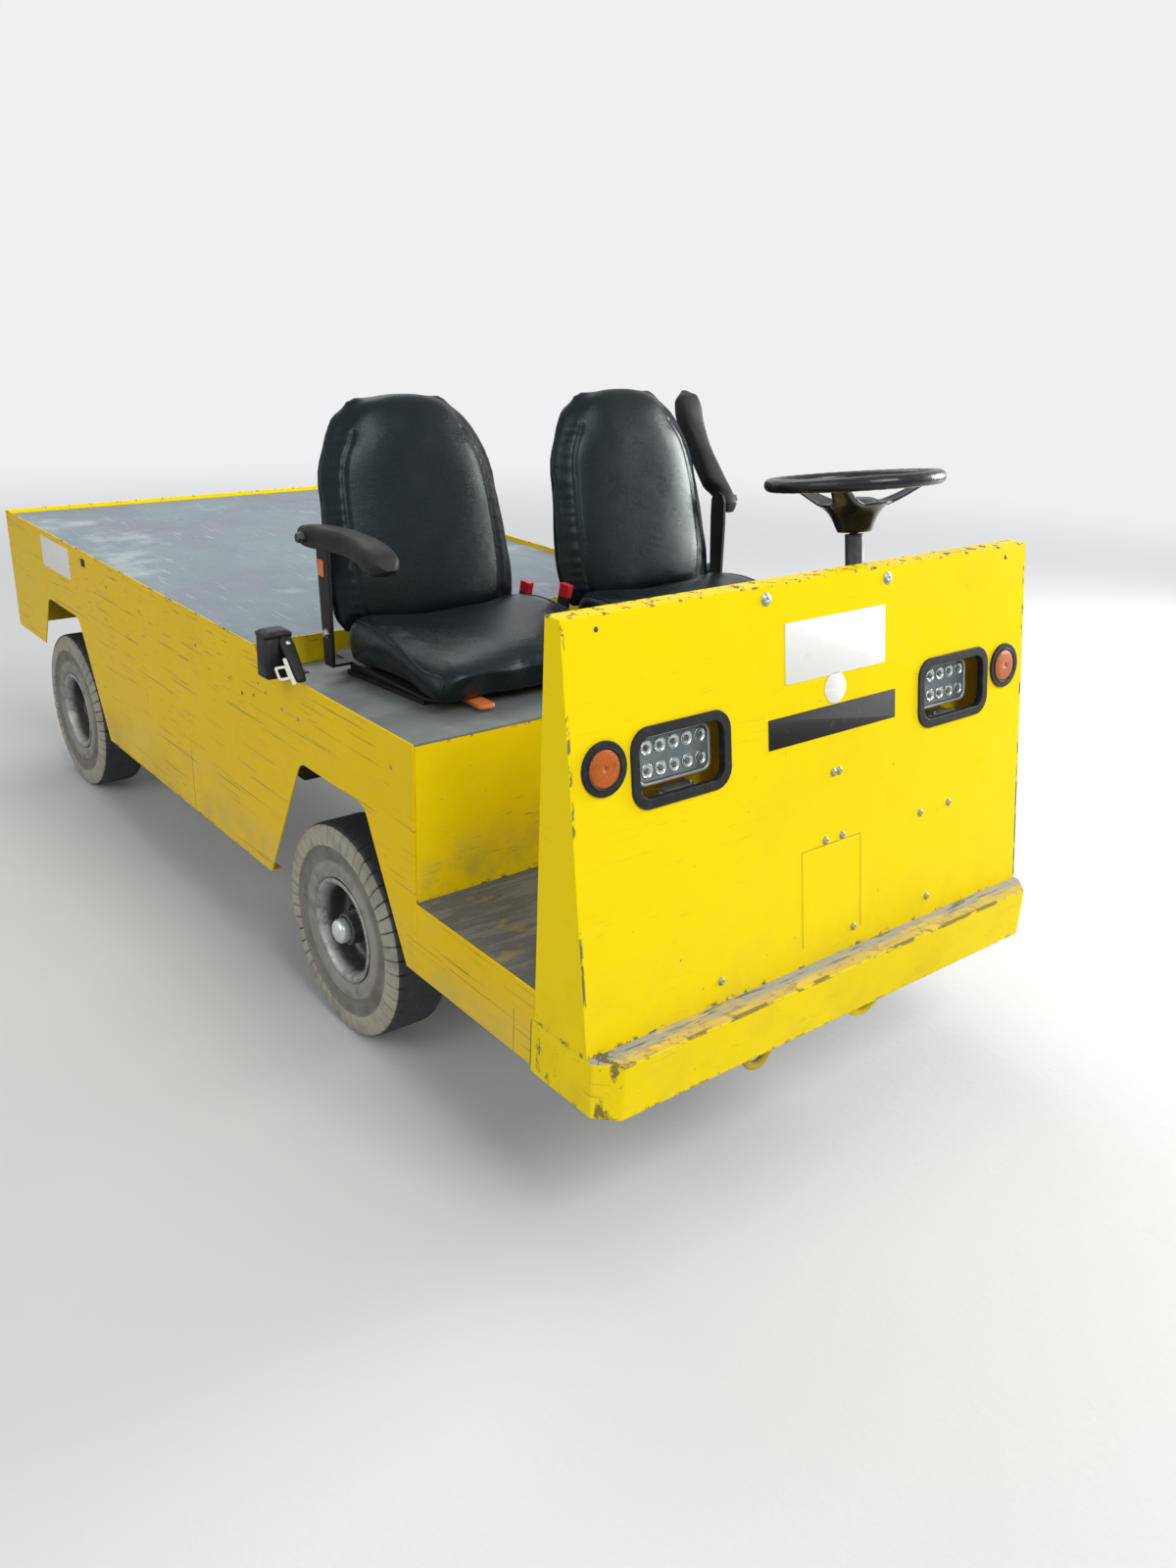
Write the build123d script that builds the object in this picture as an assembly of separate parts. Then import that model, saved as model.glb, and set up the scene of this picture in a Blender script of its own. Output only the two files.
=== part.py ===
from build123d import *
from math import atan2, cos, radians, sin
import os

os.makedirs("parts", exist_ok=True)

# Flat-deck electric utility vehicle with two seats
# Millimetres. X runs across, positive on the driver's side; Z runs up from the floor.
# Y is measured from the front of the bumper and centred on export.

# Main sizes
LENGTH = 2966
WIDTH = 1158
HALF = WIDTH / 2
SHEET = 4
IN = HALF - SHEET
DECK_Z = 794
SEAT_EDGE_Z = DECK_Z - 27
SEAT_REAR_Z = DECK_Z - 61
FLOOR_Z = 453
SILL_Z = 305
SKIRT_Z = 270
FLAP_Z = 430
BUMPER_Z = 396
COWL_REAR_Y = 189
SILL_Y = COWL_REAR_Y + 9
SEAT_BOX_Y = 563
RISER_Y = SEAT_BOX_Y + 647
FIT = 0.05

# Wheels and axles
TYRE_R = 235
TYRE_HALF = 65
RIM_R = 102
AXLE_Z = TYRE_R
FRONT_AXLE_Y = SEAT_BOX_Y + 343
REAR_AXLE_Y = LENGTH - 363
FRONT_WHEEL_X = HALF - 85
REAR_WHEEL_X = HALF - 97
KINGPIN_X = FRONT_WHEEL_X - 96
STUB_R = 16

# Chassis
RAIL_X = 248
RAIL_HALF = 30
RAIL_Z0 = AXLE_Z + 110
RAIL_Z1 = RAIL_Z0 + 70
WALL = 5
BEAM_Y = 72
MEMBER_W = 40


def box(x0, x1, y0, y1, z0, z1):
    middle = Pos((x0 + x1) / 2, (y0 + y1) / 2, (z0 + z1) / 2)
    return middle * Box(abs(x1 - x0), y1 - y0, z1 - z0)


def side_plate(points, x0, x1):
    """A plate across X whose outline is given as (y, z) points."""
    plane = Plane(origin=(x0, 0, 0), x_dir=(0, 1, 0), z_dir=(1, 0, 0))
    return extrude(plane * make_face(Polyline(*points, close=True)), amount=x1 - x0)


def front_plate(points, y0, y1):
    """A plate along Y whose outline is given as (x, z) points."""
    plane = Plane(origin=(0, y1, 0), x_dir=(1, 0, 0), z_dir=(0, -1, 0))
    return extrude(plane * make_face(Polyline(*points, close=True)), amount=y1 - y0)


def flat_plate(points, z0, z1):
    """A plate along Z whose outline is given as (x, y) points."""
    return extrude(Plane.XY.offset(z0) * make_face(Polyline(*points, close=True)), amount=z1 - z0)


def rod(a, b, r):
    """A round bar from point a to point b."""
    start = Vector(*a)
    run = Vector(*b) - start
    return extrude(Plane(origin=start, z_dir=run) * Circle(r), amount=run.length)


def upright(x, y, z0, z1, r):
    """A round post, pin or hole along Z."""
    return rod((x, y, z0), (x, y, z1), r)


def turned(points, x, y, z):
    """A ring or disc about an axle along X; points are (offset along X, radius)."""
    face = make_face(Polyline(*[(px, r, 0) for px, r in points], close=True))
    return Pos(x, y, z) * revolve(face, axis=Axis.X)


def mirrored(shape):
    return mirror(shape, about=Plane.YZ)


def group(shapes):
    """Several solids that don't touch, kept as one piece."""
    return Compound([solid for shape in shapes for solid in shape.solids()])


def both(shape):
    return group([shape, mirrored(shape)])


def symmetric(half_outline):
    """A closed outline from its half, given from the bottom up on the negative side."""
    return half_outline + [(-x, v) for x, v in reversed(half_outline)]


parts = {}

# Wheel arches
ARCH_Z = 588
ARCH_R = 40
ARCH_RUN = 0.53
ARCHES = [
    # axle: the wheel's y; fore and aft: from the axle to the ends of the arch's level top
    dict(axle=FRONT_AXLE_Y, fore=158, aft=106),
    dict(axle=REAR_AXLE_Y, fore=238, aft=24),
]


def arch_cutter(arch):
    low = SKIRT_Z - 30
    spread = ARCH_RUN * (ARCH_Z - low)
    front = arch["axle"] - arch["fore"]
    rear = arch["axle"] + arch["aft"]
    solid = side_plate(
        [(front - spread, low), (front, ARCH_Z), (rear, ARCH_Z), (rear + spread, low)],
        -HALF - SHEET, -HALF + 8 * SHEET,
    )
    return fillet(solid.edges().filter_by(Axis.X).group_by(Axis.Z)[-1], ARCH_R)


# Side panels, each one sheet with a flange turned in under the skirt and the sill
FLANGE = 22
panel = side_plate([
    (SILL_Y, SILL_Z), (FRONT_AXLE_Y - 250, SILL_Z), (FRONT_AXLE_Y - 230, SKIRT_Z),
    (REAR_AXLE_Y + 40, SKIRT_Z), (REAR_AXLE_Y + 60, FLAP_Z), (LENGTH, FLAP_Z), (LENGTH, DECK_Z),
    (RISER_Y, DECK_Z), (RISER_Y - 30, SEAT_EDGE_Z), (SEAT_BOX_Y, SEAT_EDGE_Z), (SEAT_BOX_Y, FLOOR_Z),
    (COWL_REAR_Y, FLOOR_Z), (COWL_REAR_Y, BUMPER_Z), (SILL_Y, BUMPER_Z),
], -HALF, -IN)
FLANGES = [
    dict(y0=FRONT_AXLE_Y + 200, y1=REAR_AXLE_Y - 300, z=SKIRT_Z),
    dict(y0=SILL_Y, y1=FRONT_AXLE_Y - 200, z=SILL_Z),
]
for f in FLANGES:
    panel += box(-HALF, -IN + FLANGE, f["y0"], f["y1"], f["z"], f["z"] + SHEET)
for arch in ARCHES:
    panel -= arch_cutter(arch)
parts["side_panel_right"] = panel
parts["side_panel_left"] = mirrored(panel)

# Rear panel with round cut-outs for the tail lamps
TAIL_X = HALF - 99
TAIL_Z = FLAP_Z + 180
TAIL_R = 52
TAIL_LIP = 6
TAIL_PROUD = 3
rear_panel = box(-IN, IN, LENGTH - SHEET, LENGTH, FLAP_Z, DECK_Z)
for x in (-TAIL_X, TAIL_X):
    rear_panel -= rod((x, LENGTH - 30, TAIL_Z), (x, LENGTH + 5, TAIL_Z), TAIL_R - TAIL_LIP)
parts["rear_panel"] = rear_panel
tail = rod((TAIL_X, LENGTH - 26, TAIL_Z), (TAIL_X, LENGTH + TAIL_PROUD, TAIL_Z), TAIL_R - TAIL_LIP)
tail += rod((TAIL_X, LENGTH, TAIL_Z), (TAIL_X, LENGTH + TAIL_PROUD, TAIL_Z), TAIL_R)
parts["tail_lamps"] = both(tail)

# Cargo deck, set down inside the panels, and the riser in front of it
DECK_LIP = 12
DECK_TOP = DECK_Z - DECK_LIP
DECK_LOW = DECK_TOP - SHEET
parts["cargo_deck"] = box(-IN, IN, RISER_Y + SHEET, LENGTH - SHEET, DECK_LOW, DECK_TOP)
parts["deck_riser"] = box(-IN, IN, RISER_Y, RISER_Y + SHEET, SEAT_REAR_Z - SHEET, DECK_Z)

# Seat deck, falling towards the rear, on the seat box
SLOPE = (SEAT_EDGE_Z - SEAT_REAR_Z) / (RISER_Y - SEAT_BOX_Y)


def deck_z(y):
    """Height of the seat deck's top face."""
    return SEAT_EDGE_Z - SLOPE * (y - SEAT_BOX_Y)


def on_seat_deck(y0, y1, x0, x1, thick):
    """A plate of that thickness lying on the seat deck, or hanging below it if negative."""
    return side_plate([
        (y0, deck_z(y0)), (y1, deck_z(y1)), (y1, deck_z(y1) + thick), (y0, deck_z(y0) + thick),
    ], x0, x1)


parts["seat_deck"] = on_seat_deck(SEAT_BOX_Y, RISER_Y, -IN, IN, -SHEET)
box_top = deck_z(SEAT_BOX_Y + SHEET) - SHEET
parts["seat_box_front"] = box(-IN, IN, SEAT_BOX_Y, SEAT_BOX_Y + SHEET, FLOOR_Z, box_top)
parts["step_floor"] = box(-IN, IN, COWL_REAR_Y, SEAT_BOX_Y + SHEET, FLOOR_Z - SHEET, FLOOR_Z)

# Front cowl: a raked, folded sheet with closed sides and top
COWL_Z = 1087
COWL_FOOT_Y = 50
COWL_TOP_Y = 153
RAKE = (COWL_TOP_Y - COWL_FOOT_Y) / (COWL_Z - BUMPER_Z)
TILT = atan2(COWL_TOP_Y - COWL_FOOT_Y, COWL_Z - BUMPER_Z)
SKIN = SHEET * cos(TILT)


def cowl_y(z):
    return COWL_FOOT_Y + RAKE * (z - BUMPER_Z)


def cowl_plane(x, z):
    """A plane on the cowl's raked face at height z, its normal pointing out."""
    return Plane(origin=(x, cowl_y(z), z), x_dir=(1, 0, 0), z_dir=(0, -cos(TILT), sin(TILT)))


def through_cowl(x, z, shape, out, inwards):
    """The outline as a block from out in front of the cowl's face to inwards behind it."""
    return extrude(cowl_plane(x, z).offset(-inwards) * shape, amount=out + inwards)


HEAD_X = HALF - 226.5
HEAD_Z = COWL_Z - 249
HEAD_W = 215
HEAD_H = 134
LIP = 12
BAND = 17
MARK_X = HALF - 65.5
MARK_Z = COWL_Z - 232
MARK_R = 44
MARK_LIP = 6
LENS_R = 31
head_hole = RectangleRounded(HEAD_W - 2 * LIP, HEAD_H - 2 * LIP, 26)
foot = BUMPER_Z - 20
cowl = side_plate([
    (COWL_FOOT_Y, BUMPER_Z), (COWL_TOP_Y, COWL_Z), (COWL_REAR_Y, COWL_Z), (COWL_REAR_Y, BUMPER_Z),
], -HALF, HALF)
cowl -= side_plate([
    (cowl_y(foot) + SHEET, foot), (cowl_y(COWL_Z - SHEET) + SHEET, COWL_Z - SHEET),
    (COWL_REAR_Y + 10, COWL_Z - SHEET), (COWL_REAR_Y + 10, foot),
], -IN, IN)
for s in (-1, 1):
    cowl -= through_cowl(s * HEAD_X, HEAD_Z, head_hole, 20, 20)
    cowl -= through_cowl(s * MARK_X, MARK_Z, Circle(MARK_R - MARK_LIP), 20, 20)
parts["front_cowl"] = cowl

# Dash panel that closes the cowl's back
DASH_Y = COWL_REAR_Y - SHEET
parts["dash_panel"] = box(-IN, IN, DASH_Y, COWL_REAR_Y, FLOOR_Z - SHEET, COWL_Z - SHEET)

# Rubber gaskets round the headlights and marker lamps, lipped over both sides of the sheet
gasket = through_cowl(HEAD_X, HEAD_Z, RectangleRounded(HEAD_W, HEAD_H, 36), 4, 0)
gasket += through_cowl(HEAD_X, HEAD_Z, head_hole, 2, 10)
gasket -= through_cowl(HEAD_X, HEAD_Z, RectangleRounded(HEAD_W - 2 * BAND, HEAD_H - 2 * BAND, 22), 15, 15)
grommet = through_cowl(MARK_X, MARK_Z, Circle(MARK_R), 5, 0)
grommet += through_cowl(MARK_X, MARK_Z, Circle(MARK_R - MARK_LIP), 2, 10)
grommet -= through_cowl(MARK_X, MARK_Z, Circle(LENS_R), 15, 15)
parts["lamp_gaskets"] = group([gasket, mirrored(gasket), grommet, mirrored(grommet)])
parts["marker_lamps"] = both(through_cowl(MARK_X, MARK_Z, Circle(LENS_R), 6, 14))

# Headlights, set back behind their gaskets, each on a bracket from the cowl's skin
LAMP_W = 160
LAMP_H = 84
LAMP_D = 36
LAMP_SET = 24
lamp = through_cowl(HEAD_X - 6, HEAD_Z, Pos(0, 3) * RectangleRounded(LAMP_W, LAMP_H, 10), -LAMP_SET, LAMP_SET + LAMP_D)
lamp += through_cowl(HEAD_X - 6, HEAD_Z, Pos(0, -54) * Rectangle(40, 36), -LAMP_SET - 30, LAMP_SET + 36)
lamp += through_cowl(HEAD_X - 6, HEAD_Z, Pos(0, -75) * Rectangle(40, 6), -SKIN, LAMP_SET + 36)
parts["headlights"] = both(lamp)

# Front bumper: a bent channel that wraps round to the sills
BUMP_LOW = BUMPER_Z - 103
BUMP_T = 5
BEVEL = 36
TOP_FLANGE = 66
bend = BEVEL + 2
outside = [(-HALF, SILL_Y), (-HALF, BEVEL), (-HALF + BEVEL, 0)]
inside = [(-HALF + BUMP_T, SILL_Y + 5), (-HALF + BUMP_T, bend), (-HALF + bend, BUMP_T)]
bumper = flat_plate(symmetric(outside), BUMP_LOW, BUMPER_Z)
bumper -= flat_plate(symmetric(inside), BUMP_LOW - 5, BUMPER_Z - BUMP_T)
bumper -= box(-HALF + BUMP_T, HALF - BUMP_T, TOP_FLANGE, SILL_Y + 5, BUMP_LOW, BUMPER_Z + 5)
parts["front_bumper"] = bumper

# Tow hooks: round-bar loops welded under the bumper beam
BEAM_Z = BUMP_LOW + 7
HOOK_R = 8
HOOK_Y = 50
HOOKS = [
    dict(x0=-216, x1=-143, low=220),
    dict(x0=60, x1=163, low=228),
]
loops = []
for h in HOOKS:
    mid = (h["x0"] + h["x1"]) / 2
    bend_r = (h["x1"] - h["x0"]) / 2 - HOOK_R
    bend_z = h["low"] + HOOK_R + bend_r
    loop = Pos(mid, HOOK_Y, bend_z) * Rot(90, 0, 0) * Torus(bend_r, HOOK_R)
    loop &= box(h["x0"] - 1, h["x1"] + 1, HOOK_Y - 20, HOOK_Y + 20, h["low"] - 1, bend_z)
    for x in (mid - bend_r, mid + bend_r):
        loop += upright(x, HOOK_Y, bend_z, BEAM_Z, HOOK_R)
    loops.append(loop)
parts["tow_hooks"] = group(loops)

# Chassis rails: two welded tubes
RAIL_END = LENGTH - 66
rail = box(RAIL_X - RAIL_HALF, RAIL_X + RAIL_HALF, BEAM_Y, RAIL_END, RAIL_Z0, RAIL_Z1)
bore_x = RAIL_HALF - WALL
rail -= box(RAIL_X - bore_x, RAIL_X + bore_x, BEAM_Y - 1, RAIL_END + 1, RAIL_Z0 + WALL, RAIL_Z1 - WALL)
parts["frame_rails"] = both(rail)

# Cross members
MEMBER_Z = DECK_LOW - 40
RAIL_GAP = RAIL_X - RAIL_HALF
DECK_FRONT = RISER_Y + 15
BATTERY_END = REAR_AXLE_Y - 473
DECK_REAR = LENGTH - 96
MEMBERS = [
    # where along Y, from z0 to z1, and how far out on each side
    dict(y0=BUMP_T, y1=BEAM_Y, z0=BEAM_Z, z1=BUMPER_Z - BUMP_T, reach=RAIL_X + 152),
    dict(y0=COWL_REAR_Y + 41, y1=COWL_REAR_Y + 81, z0=RAIL_Z1, z1=FLOOR_Z - SHEET, reach=IN),
    dict(y0=SEAT_BOX_Y - 43, y1=SEAT_BOX_Y - 3, z0=RAIL_Z1, z1=FLOOR_Z - SHEET, reach=IN),
    dict(y0=RISER_Y - 30, y1=RISER_Y - 1, z0=SEAT_REAR_Z - 43, z1=SEAT_REAR_Z - 5, reach=IN),
    dict(y0=DECK_FRONT, y1=DECK_FRONT + MEMBER_W, z0=MEMBER_Z, z1=DECK_LOW, reach=IN),
    dict(y0=BATTERY_END - 430, y1=BATTERY_END - 390, z0=MEMBER_Z, z1=DECK_LOW, reach=IN),
    dict(y0=BATTERY_END + 30, y1=BATTERY_END + 70, z0=MEMBER_Z, z1=DECK_LOW, reach=IN),
    dict(y0=DECK_REAR, y1=DECK_REAR + MEMBER_W, z0=MEMBER_Z, z1=DECK_LOW, reach=IN),
    dict(y0=DECK_FRONT, y1=DECK_FRONT + MEMBER_W, z0=RAIL_Z0, z1=RAIL_Z1, reach=RAIL_GAP),
    dict(y0=BATTERY_END + 30, y1=BATTERY_END + 70, z0=RAIL_Z0, z1=RAIL_Z1, reach=RAIL_GAP),
    dict(y0=RAIL_END - MEMBER_W, y1=RAIL_END, z0=RAIL_Z0, z1=RAIL_Z1, reach=RAIL_GAP),
]
parts["cross_members"] = group([
    box(-m["reach"], m["reach"], m["y0"], m["y1"], m["z0"], m["z1"]) for m in MEMBERS
])

# Stringers under the deck, on posts from the rails
STRING_HALF = 20
STRING_Z = MEMBER_Z - 40
string_x0 = RAIL_X - STRING_HALF
string_x1 = RAIL_X + STRING_HALF
parts["deck_stringers"] = both(box(string_x0, string_x1, DECK_FRONT, DECK_REAR + MEMBER_W, STRING_Z, MEMBER_Z))
POSTS_Y = [DECK_FRONT, BATTERY_END + 30, RAIL_END - MEMBER_W]
posts = [box(string_x0, string_x1, y, y + MEMBER_W, RAIL_Z1, STRING_Z) for y in POSTS_Y]
parts["deck_posts"] = group(posts + [mirrored(p) for p in posts])

# Battery pack, one block on the rails
BATTERY_H = 260
parts["battery_pack"] = box(
    -HALF + 149, HALF - 149, RISER_Y + 90, BATTERY_END, RAIL_Z1, RAIL_Z1 + BATTERY_H,
)

# Front axle beam with kingpin bosses
BEAM_HALF = 22
YOKE_Z = 46
EAR_T = 12
BOSS_R = 24
PIN_R = 12
boss_half = YOKE_Z - EAR_T / 2
axle = box(
    -KINGPIN_X, KINGPIN_X, FRONT_AXLE_Y - BEAM_HALF, FRONT_AXLE_Y + BEAM_HALF,
    AXLE_Z - BEAM_HALF, AXLE_Z + BEAM_HALF,
)
for x in (-KINGPIN_X, KINGPIN_X):
    axle += upright(x, FRONT_AXLE_Y, AXLE_Z - boss_half, AXLE_Z + boss_half, BOSS_R)
for x in (-KINGPIN_X, KINGPIN_X):
    axle -= upright(x, FRONT_AXLE_Y, AXLE_Z - YOKE_Z, AXLE_Z + YOKE_Z, PIN_R + FIT)
parts["front_axle"] = axle

# Steering knuckles: two ears and a kingpin, a stub shaft and a steering arm
STUB_END = 30
EAR_R = 26
YOKE_X = KINGPIN_X + 30
YOKE_T = 14
TIE_Y = FRONT_AXLE_Y + 120
TIE_PIN_R = 7
EYE_R = 18
ear_half = EAR_T / 2 - FIT
ARM_LOW = AXLE_Z + YOKE_Z + ear_half - 1
ARM_TOP = ARM_LOW + 13
knuckle = upright(-KINGPIN_X, FRONT_AXLE_Y, AXLE_Z - YOKE_Z, AXLE_Z + YOKE_Z, PIN_R)
for z in (AXLE_Z - YOKE_Z, AXLE_Z + YOKE_Z):
    knuckle += upright(-KINGPIN_X, FRONT_AXLE_Y, z - ear_half, z + ear_half, EAR_R)
    knuckle += box(-YOKE_X - YOKE_T, -KINGPIN_X, FRONT_AXLE_Y - 24, FRONT_AXLE_Y + 24, z - ear_half, z + ear_half)
knuckle += box(
    -YOKE_X - YOKE_T, -YOKE_X, FRONT_AXLE_Y - 24, FRONT_AXLE_Y + 24,
    AXLE_Z - YOKE_Z - ear_half, AXLE_Z + YOKE_Z + ear_half,
)
knuckle += rod((-YOKE_X, FRONT_AXLE_Y, AXLE_Z), (-FRONT_WHEEL_X - STUB_END, FRONT_AXLE_Y, AXLE_Z), STUB_R)
knuckle += flat_plate([
    (-KINGPIN_X - EYE_R, FRONT_AXLE_Y), (-KINGPIN_X + EYE_R, FRONT_AXLE_Y), (-KINGPIN_X + EYE_R, TIE_Y), (-KINGPIN_X - EYE_R, TIE_Y),
], ARM_LOW, ARM_TOP)
knuckle += upright(-KINGPIN_X, TIE_Y, ARM_LOW, ARM_TOP, EYE_R)
knuckle -= upright(-KINGPIN_X, TIE_Y, ARM_LOW - 1, ARM_TOP + 1, TIE_PIN_R + FIT)
parts["knuckle_right"] = knuckle
parts["knuckle_left"] = mirrored(knuckle)

# Tie rod with a ball joint and its pin at each end
TIE_Z = ARM_TOP + 20
tie = rod((-KINGPIN_X, TIE_Y, TIE_Z), (KINGPIN_X, TIE_Y, TIE_Z), 10)
for x in (-KINGPIN_X, KINGPIN_X):
    tie += upright(x, TIE_Y, TIE_Z - 13, TIE_Z + 12, 16)
    tie += upright(x, TIE_Y, ARM_LOW - 8, TIE_Z, TIE_PIN_R)
parts["tie_rod"] = tie

# Leaf springs: arcs in three leaves, with hangers under the rails
SPRING_HALF = 25
LEAF_T = 8
SHACKLE_R = 14
HANGER_T = 5
LEAVES = [1.0, 0.7, 0.4]


def leaf(y, half, low, rise):
    """One leaf: an arc at height low in the middle, higher by rise at its ends."""
    plane = Plane(origin=(RAIL_X - SPRING_HALF, 0, 0), x_dir=(0, 1, 0), z_dir=(1, 0, 0))
    under = ThreePointArc((y - half, low + rise), (y, low), (y + half, low + rise))
    over = ThreePointArc((y + half, low + rise + LEAF_T), (y, low + LEAF_T), (y - half, low + rise + LEAF_T))
    edges = [under, Line(under @ 1, over @ 0), over, Line(over @ 1, under @ 0)]
    return extrude(plane * make_face(edges), amount=2 * SPRING_HALF)


def leaf_spring(y, seat_z, half, sink):
    """A leaf pack clamped on its axle at seat_z; the clamp reaches down by sink."""
    low = seat_z + 3 * LEAF_T
    eye_z = RAIL_Z0 - 22
    rise = eye_z - low - LEAF_T / 2
    pack = leaf(y, half, low, rise)
    for i in (1, 2):
        pack += leaf(y, half * LEAVES[i], low - i * LEAF_T, rise * LEAVES[i] ** 2)
    for eye_y in (y - half, y + half):
        pack += rod((RAIL_X - SPRING_HALF, eye_y, eye_z), (RAIL_X + SPRING_HALF, eye_y, eye_z), SHACKLE_R)
        for x in (RAIL_X - SPRING_HALF - HANGER_T, RAIL_X + SPRING_HALF):
            pack += box(x, x + HANGER_T, eye_y - 16, eye_y + 16, eye_z - 16, RAIL_Z0)
    clamp_y = BEAM_HALF + 10
    pack += box(
        RAIL_X - SPRING_HALF, RAIL_X + SPRING_HALF, y - clamp_y, y + clamp_y, seat_z - sink, low + 2 * LEAF_T,
    )
    return pack


parts["front_springs"] = both(leaf_spring(FRONT_AXLE_Y, AXLE_Z + BEAM_HALF, 300, 0))

# Rear axle: tubes, differential, brake drums and stub shafts
TUBE_R = 38
DIFF_X = 40
DIFF_R = 105
DIFF_HALF = 60
DRUM_R = 82
DRUM_X = REAR_WHEEL_X - 96
DRUM_T = 26
y = REAR_AXLE_Y
rear = rod((-DRUM_X, y, AXLE_Z), (DRUM_X, y, AXLE_Z), TUBE_R)
rear += rod((DIFF_X - DIFF_HALF, y, AXLE_Z), (DIFF_X + DIFF_HALF, y, AXLE_Z), DIFF_R)
for s in (-1, 1):
    rear += rod((s * DRUM_X, y, AXLE_Z), (s * (DRUM_X + DRUM_T), y, AXLE_Z), DRUM_R)
    rear += rod((s * DRUM_X, y, AXLE_Z), (s * (REAR_WHEEL_X + STUB_END), y, AXLE_Z), STUB_R)
parts["rear_axle"] = rear
tube = rod((0, y, AXLE_Z), (DRUM_X, y, AXLE_Z), TUBE_R)
parts["rear_springs"] = both(leaf_spring(y, AXLE_Z + TUBE_R, 250, 12) - tube)

# Drive motor on the front of the differential
MOTOR_R = 88
MOTOR_LEN = 260
MOTOR_Z = AXLE_Z + 20
motor = rod((DIFF_X, y - 90, MOTOR_Z), (DIFF_X, y - DIFF_R - MOTOR_LEN, MOTOR_Z), MOTOR_R)
motor -= rod((DIFF_X - 200, y, AXLE_Z), (DIFF_X + 200, y, AXLE_Z), DIFF_R)
parts["drive_motor"] = motor

# Tyres and deep-dish rims
TYRE = [
    # offset along the axle, radius
    (-53, RIM_R), (-53, 116), (-60, 126), (-62, 158), (-TYRE_HALF, 166), (-TYRE_HALF, 206), (-59, 228), (-47, TYRE_R),
    (47, TYRE_R), (59, 228), (TYRE_HALF, 206), (TYRE_HALF, 166), (62, 158), (60, 126), (53, 116), (53, RIM_R),
]
HUB_R = 37
CAP_R = 27
RIM = [
    # offset towards the outside, radius
    (53, RIM_R), (53, 113), (59, 115), (61, 108), (54, 98), (30, 93), (4, 91), (-4, 84), (-6, 60), (-4, HUB_R),
    (26, HUB_R), (28, CAP_R), (40, CAP_R - 3), (47, 16), (50, 0.0),
    (STUB_END + 6, 0.0), (STUB_END + 6, STUB_R + FIT), (-34, STUB_R + FIT), (-34, 58), (-14, 64), (-12, 86),
    (-30, 96), (-54, 98), (-61, 108), (-59, 115), (-53, 113), (-53, RIM_R),
]
WHEELS = [
    dict(name="front_right", s=-1, x=FRONT_WHEEL_X, y=FRONT_AXLE_Y),
    dict(name="front_left", s=1, x=FRONT_WHEEL_X, y=FRONT_AXLE_Y),
    dict(name="rear_right", s=-1, x=REAR_WHEEL_X, y=REAR_AXLE_Y),
    dict(name="rear_left", s=1, x=REAR_WHEEL_X, y=REAR_AXLE_Y),
]
for w in WHEELS:
    x = w["s"] * w["x"]
    parts["tyre_" + w["name"]] = turned(TYRE, x, w["y"], AXLE_Z)
    parts["rim_" + w["name"]] = turned([(w["s"] * px, r) for px, r in RIM], x, w["y"], AXLE_Z)

# Seats: the passenger's is built, and the driver's is the same, turned left for right and slid forwards
CUSH_HALF = 225
BACK_HALF = CUSH_HALF + 6
SEAT_GAP = 82
SEAT_X = 31 - CUSH_HALF - SEAT_GAP / 2
SEAT_Y = RISER_Y - 180
SLIDE = 80
SEAT_SHIFT = (2 * CUSH_HALF + SEAT_GAP, -SLIDE, SLIDE * SLOPE)
PAN_Z = deck_z(SEAT_Y) + 36
PAN_T = 6
CUSH_F = SEAT_Y - 372
CUSH_R = SEAT_Y - 17


def across_seat(points, half):
    """A solid across the seat from its side view, given as (y, z) points."""
    return side_plate(points, SEAT_X - half, SEAT_X + half)


# Crowned cushion: where its side view, plan and front view meet
cushion = across_seat([
    (CUSH_F + 12, PAN_Z), (CUSH_F + 2, PAN_Z + 14), (CUSH_F, PAN_Z + 42), (CUSH_F + 9, PAN_Z + 64),
    (CUSH_F + 40, PAN_Z + 80), (CUSH_F + 110, PAN_Z + 94), (CUSH_R - 150, PAN_Z + 104),
    (CUSH_R - 70, PAN_Z + 110), (CUSH_R - 20, PAN_Z + 107), (CUSH_R, PAN_Z + 88), (CUSH_R, PAN_Z),
], CUSH_HALF)
plan = Pos(SEAT_X, (CUSH_F + CUSH_R) / 2) * RectangleRounded(2 * CUSH_HALF, CUSH_R - CUSH_F, 44)
cushion &= extrude(Plane.XY.offset(PAN_Z) * plan, amount=150)
crown = symmetric([
    (-CUSH_HALF + 8, PAN_Z), (-CUSH_HALF, PAN_Z + 22), (-CUSH_HALF, PAN_Z + 74),
    (-CUSH_HALF + 10, PAN_Z + 94), (-CUSH_HALF + 34, PAN_Z + 106), (-CUSH_HALF + 80, PAN_Z + 110),
])
cushion &= front_plate([(SEAT_X + x, z) for x, z in crown], CUSH_F - 5, CUSH_R + 5)
parts["seat_cushion_right"] = cushion

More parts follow.
